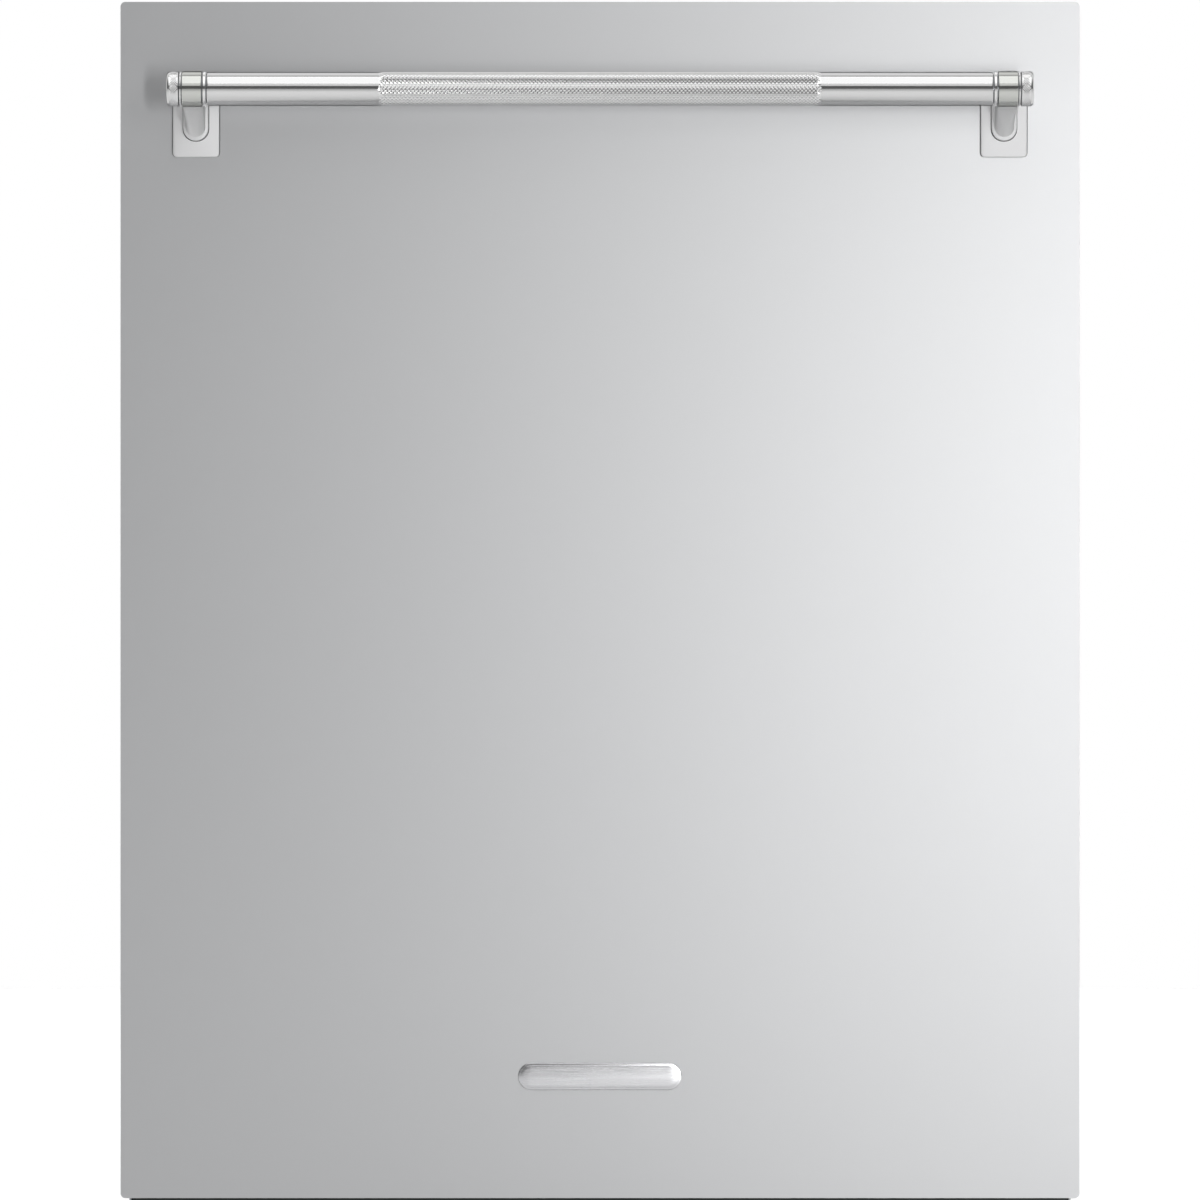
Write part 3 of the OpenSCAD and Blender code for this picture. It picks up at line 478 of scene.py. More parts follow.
def tinted_glass(name):
    look = Look(name, (0.012, 0.013, 0.016), 0.08, Coat_Weight=1.0, IOR=1.5)
    smear = look.pattern(NOISE, 35.0, Detail=4.0)
    look.spread(smear, 0.05, 0.14, "Roughness")
    return look.tint(smear, 0.9, 1.3).mat


PAINTED_DARK_EDGE_TINT = (0.15, 0.15, 0.15, 1)  # painted dark reflection: this edge tint darkens the polished bars towards their outline
PANEL = brushed("panel_steel", (0.597, 0.602, 0.611), 0.42, (3200, 3200, 60), depth=0.0000006,
                spread=0.01, shade=0.004)
TUB = brushed("tub_steel", (0.66, 0.67, 0.68), 0.24, (9, 1100, 1100))
GRIP = brushed("grip_steel", (0.82, 0.82, 0.82), 0.1, (2600, 40, 40), depth=0.000002, spread=0.02,
               Specular_Tint=PAINTED_DARK_EDGE_TINT)
KNURL = brushed("knurl_steel", (0.91, 0.91, 0.91), 0.2, (900, 900, 900), depth=0.000002,
                Specular_Tint=PAINTED_DARK_EDGE_TINT)
CAST = brushed("satin_cast", (0.82, 0.82, 0.825), 0.58, (1700, 1700, 1700), depth=0.000003, shade=0.01)
SATIN = brushed("satin_arm", (0.92, 0.92, 0.92), 0.56, (40, 40, 1800), depth=0.000002, spread=0.02,
                Specular_Tint=PAINTED_DARK_EDGE_TINT)
RING = polished("ring_chrome", (0.93, 0.93, 0.93))
# The collar is a darker, olive copy of the grip steel: painted shade standing in for a dark reflection band.
SHADED_COLLAR = brushed("collar_steel_painted_shade", (0.70, 0.71, 0.68), 0.1, (2600, 40, 40), depth=0.000002, spread=0.02,
                 Specular_Tint=PAINTED_DARK_EDGE_TINT)
BADGE = brushed("badge_satin", (0.80, 0.80, 0.82), 0.26, (60, 60, 1800), depth=0.000006)
ZINC = galvanised("zinc_sheet", (0.52, 0.54, 0.56))
SIDE = galvanised("side_sheet", (0.56, 0.58, 0.60), 0.48)
ARM = brushed("arm_steel", (0.70, 0.71, 0.72), 0.22, (20, 1400, 1400))
# Real spring wire, and also painted shade as the handle's dark core in the ring gaps.
SPRING_AND_GAP_SHADE = polished("spring_wire_and_gap_shade", (0.30, 0.31, 0.32), 0.25)
SCREW = polished("screw_zinc", (0.55, 0.56, 0.58), 0.2)
DARK = moulded("dark_plastic", (0.030, 0.031, 0.033), 0.45)
GREY = moulded("grey_plastic", (0.22, 0.24, 0.26), 0.42)
LIGHT = moulded("light_plastic", (0.48, 0.50, 0.52), 0.35)
PALE = moulded("pale_plastic", (0.70, 0.71, 0.72), 0.3)
BLUE_GREY = moulded("rack_trim", (0.12, 0.14, 0.165), 0.4)
NYLON = moulded("rack_nylon", (0.30, 0.335, 0.375), 0.38, grain=700.0)
WHEEL = moulded("wheel_plastic", (0.17, 0.19, 0.21), 0.4)
PUMP = moulded("pump_plastic", (0.34, 0.35, 0.36), 0.5)
FOOT = moulded("foot_plastic", (0.035, 0.036, 0.038), 0.55)
# Real seal rubber, and also dark rims painted as shadow lines round the handle brackets.
SEAL_AND_SHADOW_RIMS = rubbery("seal_rubber", (0.028, 0.028, 0.030))
FELT = felted("felt", (0.055, 0.055, 0.060))
BOARD = circuit("solder_mask")
GLASS = tinted_glass("display_glass")

SLOT_LOOK = {
    "brushed_panel": PANEL, "polished_steel": RING, "grip_steel": GRIP, "satin_cast": CAST,
    "badge_chrome": BADGE, "zinc_sheet": ZINC, "tub_steel": TUB, "dark_plastic": DARK,
    "grey_plastic": GREY, "pale_plastic": PALE, "light_plastic": LIGHT, "board_green": BOARD,
    "window_glass": GLASS, "seal_rubber": SEAL_AND_SHADOW_RIMS, "felt": FELT, "side_paint": SIDE,
    "spring_steel": SPRING_AND_GAP_SHADE, "screw_steel": SCREW, "rack_nylon": NYLON, "rack_handle": BLUE_GREY,
    "wheel_plastic": WHEEL, "pump_grey": PUMP, "arm_steel": ARM, "filter_steel": ARM,
    "foot_plastic": FOOT,
}


def dress_node(node, edge):
    """Gives a CAD node its material and, where edge is above 0, rounded edges of that radius."""
    obj = NODES[node]
    obj.data.materials.clear()
    obj.data.materials.append(SLOT_LOOK[NODE_SLOT[node]])
    if edge:
        weld = obj.modifiers.new("weld", "WELD")
        weld.merge_threshold = 0.01 * MM
        flat = obj.modifiers.new("flat", "DECIMATE")
        flat.decimate_type = "DISSOLVE"
        flat.angle_limit = math.radians(0.3)
        bevel = obj.modifiers.new("edge", "BEVEL")
        bevel.width = edge
        bevel.segments = 2
        bevel.limit_method = "ANGLE"
        bevel.angle_limit = math.radians(35)
        normals = obj.modifiers.new("normals", "WEIGHTED_NORMAL")
        normals.keep_sharp = False


# Radius of the rounded edges of the CAD nodes that stay, in millimetres
NODE_EDGES = {
    "front_panel": 0.4, "door_frame": 0.2, "door_lip_seal": 0.5, "control_fascia": 0.6,
    "display_window": 0.3, "power_button": 0.5, "programme_button": 0.5, "start_button": 0.5,
    "control_board": 0.2, "handle_screws": 0.4, "hinge_arms": 0.5, "hinge_brackets": 0.6,
    "base_tray": 1.0, "toe_kick": 0.6, "tub_wrap": 0.25, "tub_floor": 0.25, "tub_gasket": 1.2,
    "worktop_brackets": 0.4, "latch_hook": 0.6, "sump": 1.0, "filter_plate": 0.4,
    "filter_cup": 0.4, "softener_tank": 2.0, "salt_cap": 1.5, "circulation_pump": 1.2,
    "drain_pump": 1.2, "inlet_valve": 1.0, "terminal_box": 0.8, "spray_feed_pipe": 1.2,
    "upper_manifold": 1.0, "rack_rails": 0.4, "upper_runners": 0.4, "dispenser_body": 1.2,
    "dispenser_lid": 0.8, "rinse_aid_cap": 0.3,
}
for node_name in NODES:
    dress_node(node_name, NODE_EDGES.get(node_name, 0) * MM)


# ---------- handle ----------

bar_lo, bar_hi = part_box("handle_bar")
cap_lo, cap_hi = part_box("handle_end_caps")
panel_lo, panel_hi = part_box("front_panel")
AXIS = middle_of("handle_bar")[1:]  # the bar's axis runs along X at this y and z
GRIP_R = (bar_hi.z - bar_lo.z) / 2
HANDLE_END = cap_hi.x
CAP_IN = bar_hi.x
EYE_OUT = CAP_IN - 2 * MM
EYE_IN = EYE_OUT - 12 * MM
GRIP_END = EYE_IN - 3.4 * MM
EYE_R = (cap_hi.z - cap_lo.z) / 2 + 0.25 * MM
BRACKET_X = (EYE_IN + EYE_OUT) / 2
KNURL_HALF = 136.5 * MM
KNURL_STEP = 1.2 * MM
KNURL_DEPTH = 0.36 * MM


def on_axis(x=0.0):
    return (x, AXIS[0], AXIS[1])


def knurled(s0, s1, radius, step, depth):
    """Diamond knurl: pyramids whose valleys run as two sets of helices."""
    rows = round((s1 - s0) / step)
    sides = 2 * round(math.pi * radius / step)
    verts, faces = [], []
    for i in range(rows + 1):
        fade = min(1.0, i / 2, (rows - i) / 2)
        for j in range(sides):
            r = radius - (depth * fade if (i + j) % 2 else 0)
            t = 2 * math.pi * j / sides
            verts.append((s0 + (s1 - s0) * i / rows, AXIS[0] + r * math.cos(t), AXIS[1] + r * math.sin(t)))
    for n, (a, b, c, d) in enumerate(ring_quads(rows + 1, sides)):
        i, j = divmod(n, sides)
        # the shared edge of each pair of triangles lies in a valley
        faces += [(a, b, c), (a, c, d)] if (i + j) % 2 else [(a, b, d), (b, c, d)]
    return verts, faces


def make_grip():
    lip, chamfer = 0.5 * MM, 0.15 * MM
    smooth = Shape().turn([(KNURL_HALF, GRIP_R - 2 * MM), (KNURL_HALF, GRIP_R - 0.1 * MM),
                           (KNURL_HALF + lip, GRIP_R), (KNURL_HALF + 2 * lip, GRIP_R),
                           (GRIP_END - 2 * lip, GRIP_R), (GRIP_END - lip, GRIP_R),
                           (GRIP_END - chamfer, GRIP_R - chamfer), (GRIP_END, GRIP_R - lip),
                           (GRIP_END, 6 * MM)], on_axis(), sides=128).mirrored()
    smooth.stand_in("grip_smooth_ends", "handle_bar", GRIP, sharp=30)
    # The dark core shows through the gaps beside the rings: painted shade in those gaps.
    core_r = GRIP_R - 1.6 * MM
    core = Shape().turn([(GRIP_END - MM, core_r), (CAP_IN + MM, core_r)], on_axis(), sides=96).mirrored()
    core.piece("grip_core_gap_shade", "handle_bar", SPRING_AND_GAP_SHADE)
    knurl = Shape().add(*knurled(-KNURL_HALF, KNURL_HALF, GRIP_R, KNURL_STEP, KNURL_DEPTH))
    knurl.piece("grip_knurl", "handle_bar", KNURL, sharp=1)


def make_rings():
    shape = Shape()
    ring_r = EYE_R - 0.2 * MM
    for s0, s1 in ((GRIP_END + 0.7 * MM, EYE_IN - 0.8 * MM), (EYE_OUT + 0.5 * MM, CAP_IN - 0.45 * MM)):
        shape.turn(rounded_profile(s0, s1, ring_r, 0.45 * MM, inner=7 * MM), on_axis(), sides=96)
    shape.mirrored().stand_in("handle_rings", "handle_collars", RING)


def make_caps():
    r = EYE_R - 0.25 * MM
    dome = 1.6 * MM
    neck = 0.4 * MM
    knurl_end = HANDLE_END - dome
    rim = Shape().add(*knurled(CAP_IN + neck, knurl_end, r, KNURL_STEP * 0.6, KNURL_DEPTH * 0.4)).mirrored()
    plain = Shape().turn([(CAP_IN, 5 * MM), (CAP_IN, r - 0.6 * MM), (CAP_IN + neck, r - 0.1 * MM)],
                         on_axis(), sides=96)
    end = [(knurl_end + dome * math.sin(t), r - dome * (1 - math.cos(t))) for t in quarter_turn(8)]
    end += [(HANDLE_END - 0.1 * MM, r * 0.45), (HANDLE_END - 0.3 * MM, 0)]
    plain.turn(end, on_axis(), sides=96).mirrored()
    rim.stand_in("end_cap_knurl", "handle_end_caps", KNURL, sharp=1)
    plain.piece("end_cap_domes", "handle_end_caps", GRIP)


def arm_section(x, half_w, bottom, top, y, corner, edge):
    """Outline of the bracket's arm at one depth: rounded top edges and bottom corners."""
    pts = []
    for cx, cz, r, start in ((1, top, edge, 0), (-1, top, edge, 90), (-1, bottom, corner, 180),
                             (1, bottom, corner, 270)):
        up = -1 if cz == top else 1
        for k in range(9):
            t = math.radians(start + 90 * k / 8)
            pts.append((x + cx * (half_w - r) + r * math.cos(t), y, cz + up * r + r * math.sin(t)))
    return pts


def bracket(side):
    """Plate, raised foot, curved arm and collar of one bracket, on the side +1 or -1."""
    x = side * BRACKET_X
    name = "right" if side > 0 else "left"
    node = f"handle_bracket_{name}"
    face = panel_lo.y
    top = AXIS[1] + 8.5 * MM
    plate_w, plate_h, plate_t, plate_r = 29 * MM, 48 * MM, 3 * MM, 2.6 * MM
    plate_at = (x, top - plate_h / 2)
    plate = Shape().slab(plate_w, plate_h, plate_r, plate_at, face - 0.7 * MM, face - plate_t, 0.5 * MM)
    # The gasket and seam rims are dark rubber round the plate and the foot: painted shadow lines for the
    # shade in the gaps at their edges.
    gasket = 0.35 * MM
    shadow_rims = Shape().slab(plate_w + 2 * gasket, plate_h - gasket, plate_r, plate_at, face,
                        face - 0.8 * MM, 0.1 * MM)
    foot_w, foot_h = 15.7 * MM, 38 * MM
    foot_at = (x, top - foot_h / 2)
    foot_back = face - plate_t
    foot_front = face - plate_t - 4 * MM
    foot = Shape().slab(foot_w, foot_h, foot_w / 2 - 0.01 * MM, foot_at, foot_back, foot_front, 0.4 * MM)
    shadow_seam = 0.4 * MM
    shadow_rims.slab(foot_w + 2 * shadow_seam, foot_h + 2 * shadow_seam, foot_w / 2, foot_at, foot_back,
              foot_back - 0.12 * MM, 0.05 * MM)
    half_w, edge = 6 * MM, 0.8 * MM
    start = top - foot_h + 1.6 * MM
    rise = AXIS[1] - EYE_R + edge - start
    reach = foot_front + MM - AXIS[0]
    sections = []
    for k in range(21):
        t = k / 20
        squared = step_up(t, 0.8)
        corner = half_w * 0.98 * (1 - squared) + edge * squared
        bottom = start + rise * math.sin(math.pi / 2 * t)
        sections.append(arm_section(x, half_w, bottom, top - 1.5 * MM * (1 + t),
                                    foot_front + MM - reach * t, corner, edge))
    verts, faces = loft(sections)
    arm = Shape().add(verts, [f[::-1] for f in faces])
    eye = rounded_profile(EYE_IN, EYE_OUT, EYE_R - 0.05 * MM, 0.35 * MM, inner=8 * MM)
    collar = Shape().turn([(side * along, r) for along, r in eye], on_axis(), sides=128)
    plate.stand_in(f"bracket_plate_{name}", node, CAST)
    shadow_rims.piece(f"bracket_seat_{name}", node, SEAL_AND_SHADOW_RIMS)
    foot.piece(f"bracket_foot_{name}", node, CAST)
    arm.piece(f"bracket_arm_{name}", node, SATIN)
    collar.piece(f"bracket_collar_{name}", node, SHADED_COLLAR)


def make_badge():
    lo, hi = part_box("name_badge")
    w, h = hi.x - lo.x, hi.z - lo.z
    at = middle_of("name_badge")[::2]
    step = lo.y + 0.5 * MM
    border = 1.6 * MM
    shape = Shape().slab(w, h, h / 2 - 0.1 * MM, at, hi.y, step, 0.5 * MM)
    shape.slab(w - 2 * border, h - 2 * border, h / 2 - border - 0.1 * MM, at, step,
               lo.y + 0.25 * MM, 0.25 * MM, dome=0.25 * MM)
    shape.stand_in("plain_badge", "name_badge", BADGE)


make_grip()
make_rings()
make_caps()
bracket(1)
bracket(-1)
make_badge()

# ---------- racks ----------

WIRE = 2.0 * MM  # radius of the thicker wires
RIM = 2.4 * MM
RACK_PITCH = 31 * MM
TRAY_PITCH = 18 * MM


def spaced(a, b, pitch):
    n = max(1, round((b - a) / pitch))
    return [a + (b - a) * k / n for k in range(n + 1)]


def loop(half_x, y0, y1, z):
    """Closed rectangular wire at one height, starting in the middle of the rear side."""
    start = (0, y1, z)
    return bent([start, (half_x, y1, z), (half_x, y0, z), (-half_x, y0, z), (-half_x, y1, z), start],
                12 * MM, 6)


def basket_wires(half_x, y0, y1, z0, z1, pitch, loops):
    """Basket of round wires: bent up at both ends, with a rim and loops round the walls."""
    shape = Shape()
    low, wall_x = z0 + WIRE, half_x - WIRE
    wall_y0, wall_y1 = y0 + WIRE, y1 - WIRE
    top = z1 - RIM
    bend, bar_r = 9 * MM, WIRE * 0.85
    for x in spaced(-wall_x + 6 * MM, wall_x - 6 * MM, pitch):
        route = [(x, wall_y0, top), (x, wall_y0, low), (x, wall_y1, low), (x, wall_y1, top)]
        shape.wire(bent(route, bend), bar_r)
    cross = low + 1.6 * WIRE
    for y in spaced(wall_y0 + 8 * MM, wall_y1 - 8 * MM, pitch):
        route = [(-wall_x, y, top), (-wall_x, y, cross), (wall_x, y, cross), (wall_x, y, top)]
        shape.wire(bent(route, bend), bar_r)
    shape.wire(loop(half_x - RIM, y0 + RIM, y1 - RIM, top), RIM, 10)
    for z in loops:
        shape.wire(loop(wall_x, wall_y0, wall_y1, z), WIRE)
    return shape


def add_tines(shape, xs, y, z0, z1, lean):
    """A row of slightly leaning tines on a rod."""
    shape.wire([(xs[0] - 6 * MM, y, z0), (xs[-1] + 6 * MM, y, z0)], WIRE)
    for x in xs:
        route = [(x, y, z0), (x, y, z0 + 0.5 * (z1 - z0)), (x, y + lean, z1 - WIRE)]
        shape.wire(bent(route, 10 * MM), WIRE)


def make_rack_grip(node, half_x, y1):
    """Moulded grip on the front of a rack: a rounded bar with four clips."""
    lo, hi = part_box(node)
    y0, z0 = lo.y, hi.z - 12 * MM
    shape = Shape().block((-half_x, y0, z0), (half_x, y1, hi.z), 3 * MM, 3)
    for side in (-1, 1):
        for share in (0.3, 0.8):
            x = side * half_x * share
            shape.block((x - 5 * MM, y0 + 2 * MM, z0 - 3 * MM), (x + 5 * MM, y1 + 1.5 * MM, z0 + 2 * MM), MM)
    shape.piece(f"{node}_grip", node, BLUE_GREY)


def make_upper_rack():
    lo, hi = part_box("upper_rack")
    half_x = hi.x - 28 * MM
    y0, y1, z0, z1 = lo.y + 8 * MM, hi.y - 2 * MM, lo.z, hi.z - 4 * MM
    shape = basket_wires(half_x, y0, y1, z0, z1, RACK_PITCH, (z0 + 32 * MM, z0 + 62 * MM))
    tine_xs = [(-98 + 40 * k) * MM for k in range(6)]
    for y in (-58 * MM, 22 * MM, 102 * MM):
        add_tines(shape, tine_xs, y, z0 + 3 * WIRE, z0 + 50 * MM, 5 * MM)
    shape.stand_in("upper_rack_wires", "upper_rack", NYLON)
    rail_lo, rail_hi, rail_w = z0 + 49 * MM, z0 + 61 * MM, 18 * MM
    rail = Shape().block((hi.x - rail_w, y0, rail_lo), (hi.x, hi.y, rail_hi), 1.5 * MM)
    for y in (-90 * MM, 160 * MM):
        rail.block((half_x - MM, y - 10 * MM, rail_lo), (hi.x - 17 * MM, y + 10 * MM, rail_hi), 1.5 * MM)
    rail.mirrored().piece("upper_rack_slides", "upper_rack", GREY)
    make_rack_grip("upper_rack", 90 * MM, y0 - 0.1 * MM)


def make_lower_rack():
    lo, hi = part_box("lower_rack")
    half_x = hi.x - 22 * MM
    y0, y1, z0, z1 = lo.y + 9 * MM, hi.y, hi.z - 92 * MM, hi.z - 5 * MM
    shape = basket_wires(half_x, y0, y1, z0, z1, RACK_PITCH, (z0 + 30 * MM, z0 + 58 * MM))
    tine_xs = [(22 + 32 * k) * MM for k in range(7)]
    for y in (22 * MM, 82 * MM, 142 * MM, 202 * MM):
        add_tines(shape, tine_xs, y, z0 + 3 * WIRE, z0 + 85 * MM, 6 * MM)
    shape.stand_in("lower_rack_wires", "lower_rack", NYLON)
    legs = Shape()
    axle_z = middle_of("front_wheels")[2]
    for node in ("front_wheels", "rear_wheels"):
        y = middle_of(node)[1]
        legs.block((half_x - 4 * MM, y - 12 * MM, axle_z - 10 * MM),
                   (half_x, y + 12 * MM, z0 + 6 * MM), 1.5 * MM)
        legs.turn(rounded_profile(half_x, hi.x, 3.9 * MM, 0.6 * MM), (0, y, axle_z), sides=24)
        legs.turn(rounded_profile(half_x, half_x + 3 * MM, 8 * MM, MM), (0, y, axle_z), sides=32)
    legs.mirrored().piece("lower_rack_legs", "lower_rack", GREY)
    make_rack_grip("lower_rack", 110 * MM, y0 - 0.1 * MM)


def make_folding_tines():
    lo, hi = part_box("folding_tines")
    rod_r = (hi.y - lo.y) / 2
    y, z = (lo.y + hi.y) / 2, lo.z + rod_r
    shape = Shape().wire([(lo.x + MM, y, z), (hi.x - MM, y, z)], rod_r, 12)
    for k in range(7):
        x = lo.x + (8 + 32 * k) * MM
        shape.wire([(x, y, z), (x, y, hi.z - WIRE)], WIRE)
        shape.turn(rounded_profile(-3 * MM, 3 * MM, rod_r + 0.6 * MM, 0.5 * MM), (x, y, z), sides=16)
    shape.stand_in("folding_tine_row", "folding_tines", NYLON)


def make_cup_shelf(node):
    lo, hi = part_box(node)
    side = 1 if hi.x > 0 else -1
    inner, outer = sorted((lo.x, hi.x), key=abs)
    z = (lo.z + hi.z) / 2
    y0, y1 = lo.y + WIRE, hi.y - WIRE
    axis_x = outer - side * WIRE
    shape = Shape().wire([(axis_x, lo.y, z), (axis_x, hi.y, z)], WIRE, 12)
    edge = inner + side * WIRE
    shape.wire(bent([(axis_x, y0, z), (edge, y0, z), (edge, y1, z), (axis_x, y1, z)], 14 * MM), WIRE * 0.95)
    for y in spaced(y0, y1, 22 * MM)[1:-1]:
        shape.wire([(axis_x, y, z), (edge, y, z)], WIRE * 0.75)
    for x in (edge + side * 28 * MM, edge + side * 56 * MM):
        shape.wire([(x, y0, z), (x, y1, z)], WIRE * 0.8)
    shape.stand_in(f"{node}_wires", node, NYLON)


def make_wheels(node):
    lo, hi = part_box(node)
    _, y, z = middle_of(node)
    r = (hi.z - lo.z) / 2
    x0, x1 = hi.x - 12 * MM, hi.x
    hub, bore = 7.5 * MM, 4.1 * MM
    tyre = [(0.3 * MM, r - 5 * MM), (0, r - 4 * MM), (0, r - 1.2 * MM), (MM, r), (4.5 * MM, r),
            (5 * MM, r - 0.6 * MM)]
    web = [(0.3 * MM, r - 5 * MM), (4 * MM, r - 5.4 * MM), (4 * MM, hub), (0.6 * MM, hub - 0.4 * MM),
           (0.2 * MM, bore)]
    shape = Shape()
    for half in (tyre, web):  # points of one side: distance from that side, radius
        profile = [(x0 + d, out) for d, out in half] + [(x1 - d, out) for d, out in half[::-1]]
        shape.turn(profile, (0, y, z), sides=64)
    for k in range(6):
        t = math.pi / 3 * k
        at = (y + 10.2 * MM * math.cos(t), z + 10.2 * MM * math.sin(t))
        for s0, s1 in ((x0 + 1.2 * MM, x0 + 4.4 * MM), (x1 - 4.4 * MM, x1 - 1.2 * MM)):
            shape.turn(rounded_profile(s0, s1, 2.4 * MM, 0.5 * MM), (0, *at), sides=16)
    shape.mirrored().stand_in(f"{node}_turned", node, WHEEL)


def make_cutlery_tray():
    lo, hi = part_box("cutlery_tray")
    half_x = hi.x - 34 * MM
    y0, z0, z1 = lo.y + 8 * MM, lo.z, hi.z
    shape = basket_wires(half_x, y0, hi.y, z0, z1, TRAY_PITCH, (z0 + 18 * MM,))
    for x in (-76 * MM, 76 * MM):
        for z in (z0 + 12 * MM, z0 + 28 * MM):
            shape.wire([(x, y0 + WIRE, z), (x, hi.y - WIRE, z)], WIRE * 0.9)
        for y in spaced(y0 + 3 * WIRE, hi.y - 3 * WIRE, TRAY_PITCH):
            shape.wire([(x, y, z0 + WIRE), (x, y, z0 + 28 * MM)], WIRE * 0.8)
    for x in spaced(-70 * MM, 70 * MM, 14 * MM):
        for y in spaced(y0 + 60 * MM, hi.y - 40 * MM, 55 * MM):
            shape.wire([(x, y, z0 + WIRE), (x, y, z0 + 20 * MM)], WIRE * 0.7, 6)
    shape.stand_in("cutlery_tray_wires", "cutlery_tray", NYLON)
    guide = Shape().block((half_x - MM, y0 + 4 * MM, z0 + 16 * MM), (hi.x, hi.y, z0 + 22 * MM), 1.2 * MM)
    guide.mirrored().piece("cutlery_tray_guides", "cutlery_tray", GREY)
    make_rack_grip("cutlery_tray", 80 * MM, y0 - 0.1 * MM)


make_upper_rack()
make_lower_rack()
make_folding_tines()
for shelf in ("cup_shelf_left", "cup_shelf_right"):
    make_cup_shelf(shelf)
for pair in ("front_wheels", "rear_wheels"):
    make_wheels(pair)
make_cutlery_tray()

# ---------- spray arms, filter and springs ----------


def blade_section(x, y, z, half_w, half_t):
    """A flattened oval: one outline of a spray arm."""
    pts = []
    for k in range(28):
        t = 2 * math.pi * k / 28
        c, s = math.cos(t), math.sin(t)
        across = half_w * math.copysign(abs(c) ** 0.75, c)
        up = half_t * math.copysign(abs(s) ** 0.6, s)
        pts.append((x, y + across, z + up))
    return pts


def make_spray_arm(node):
    """Pressed steel arm: a blade with round tips, jets, and a moulded hub."""
    lo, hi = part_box(node)
    reach = hi.x
    y, z = (lo.y + hi.y) / 2, lo.z + 8 * MM
    root, tip_r, half_t = 22.8 * MM, 14 * MM, 5.9 * MM
    sections = []
    for k in range(-30, 31):
        x = reach * math.sin(math.pi / 2 * k / 30)
        half_w = root + (tip_r - root) * min(1, abs(x) / (reach - tip_r))
        past = max(0.0, abs(x) - (reach - tip_r)) / tip_r
        round_off = math.sqrt(max(0.0, 1 - past * past))
        tip_w, tip_t = max(round_off, 0.02), max(round_off ** 0.6, 0.05)
        sections.append(blade_section(x, y, z, half_w * tip_w, half_t * tip_t))
    blade = Shape().add(*loft(sections))
    blade.stand_in(f"{node}_blade", node, ARM, sharp=50)
    bore, hub_r = 6.1 * MM, 21 * MM
    hub = Shape().turn([(lo.z, bore), (lo.z, hub_r - 4 * MM), (lo.z + 1.5 * MM, hub_r - 2 * MM),
                        (lo.z + 3 * MM, hub_r), (hi.z - 3 * MM, hub_r),
                        (hi.z - 1.2 * MM, hub_r - 1.2 * MM), (hi.z - 0.6 * MM, hub_r - 5 * MM),
                        (hi.z, hub_r - 6 * MM), (hi.z, bore)], (0, y, 0), "z", 64)
    hub.piece(f"{node}_hub", node, GREY)
    top = z + half_t
    nozzle = [(top - MM, 3.6 * MM), (top + 0.3 * MM, 3.2 * MM), (top + 0.5 * MM, 2.4 * MM),
              (top - 0.4 * MM, 1.6 * MM), (top - 0.5 * MM, 0)]
    jets = Shape()
    for k, share in enumerate((0.2, 0.36, 0.52, 0.68, 0.84)):
        for side in (-1, 1):
            jets.turn(nozzle, (side * share * reach, y + (6 if k % 2 else -6) * side * MM, 0), "z", 20)
    jets.piece(f"{node}_jets", node, DARK)


def make_perforations():
    """Staggered rows of small holes in the filter plate, drawn as dark countersinks: painted shade for the
    holes' insides.
    """
    lo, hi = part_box("filter_plate")
    cup_lo, cup_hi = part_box("filter_cup")
    cx, cy, _ = middle_of("filter_plate")
    cup_x, cup_y, _ = middle_of("filter_cup")
    cup_r = (cup_hi.x - cup_lo.x) / 2
    outer, riser = (hi.x - lo.x) / 2 - 4 * MM, 21 * MM
    pitch, r = 5 * MM, 1.3 * MM
    dent = [(hi.z + 0.04 * MM, r), (hi.z + 0.01 * MM, r * 0.6), (hi.z + 0.01 * MM, 0)]
    shape = Shape()
    for i in range(-24, 25):
        for j in range(-28, 29):
            x, y = cx + (i + 0.5 * (j % 2)) * pitch, cy + j * pitch * 0.866
            on_plate = riser < math.hypot(x - cx, y - cy) < outer
            # the plate's middle line stays plain
            if on_plate and math.hypot(x - cup_x, y - cup_y) > cup_r + 2 * MM and x != 0:
                shape.turn(dent, (x, y, 0), "z", 8)
    shape.piece("filter_perforations", "filter_plate", DARK)


def make_springs():
    lo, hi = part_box("balance_springs")
    coil_r, wire_r = (hi.z - lo.z) / 2, MM
    x, z = hi.x - coil_r, (lo.z + hi.z) / 2
    y0, y1 = lo.y + 20 * MM, hi.y - 25 * MM
    turns, steps = 46, 12
    r = coil_r - wire_r
    points = [(x, lo.y + wire_r, z), (x, y0 - 4 * MM, z)]
    for k in range(turns * steps + 1):
        t = 2 * math.pi * k / steps
        points.append((x + r * math.sin(t), y0 + (y1 - y0) * k / (turns * steps), z + r * math.cos(t)))
    points += [(x, y1 + 4 * MM, z), (x, hi.y - wire_r, z)]
    shape = Shape().wire(points, wire_r, 6).mirrored()
    shape.stand_in("coil_springs", "balance_springs", SPRING_AND_GAP_SHADE)


for arm_node in ("lower_spray_arm", "upper_spray_arm"):
    make_spray_arm(arm_node)
make_perforations()
make_springs()

# ---------- feet and rear connections ----------

SPIGOT_LENGTH = 13 * MM  # the drain spigot ends this far behind the tray's rear wall


def thread_profile(s0, s1, r, pitch, depth):
    """Profile of a screw thread from s0 to s1, drawn as rings of radius r."""
    n = round((s1 - s0) / pitch)
    step = (s1 - s0) / n
    pts = []
    for k in range(n):
        s = s0 + (s1 - s0) * k / n
        pts += [(s, r - depth), (s + step * 0.4, r), (s + step * 0.6, r)]
    return pts + [(s1, r - depth)]


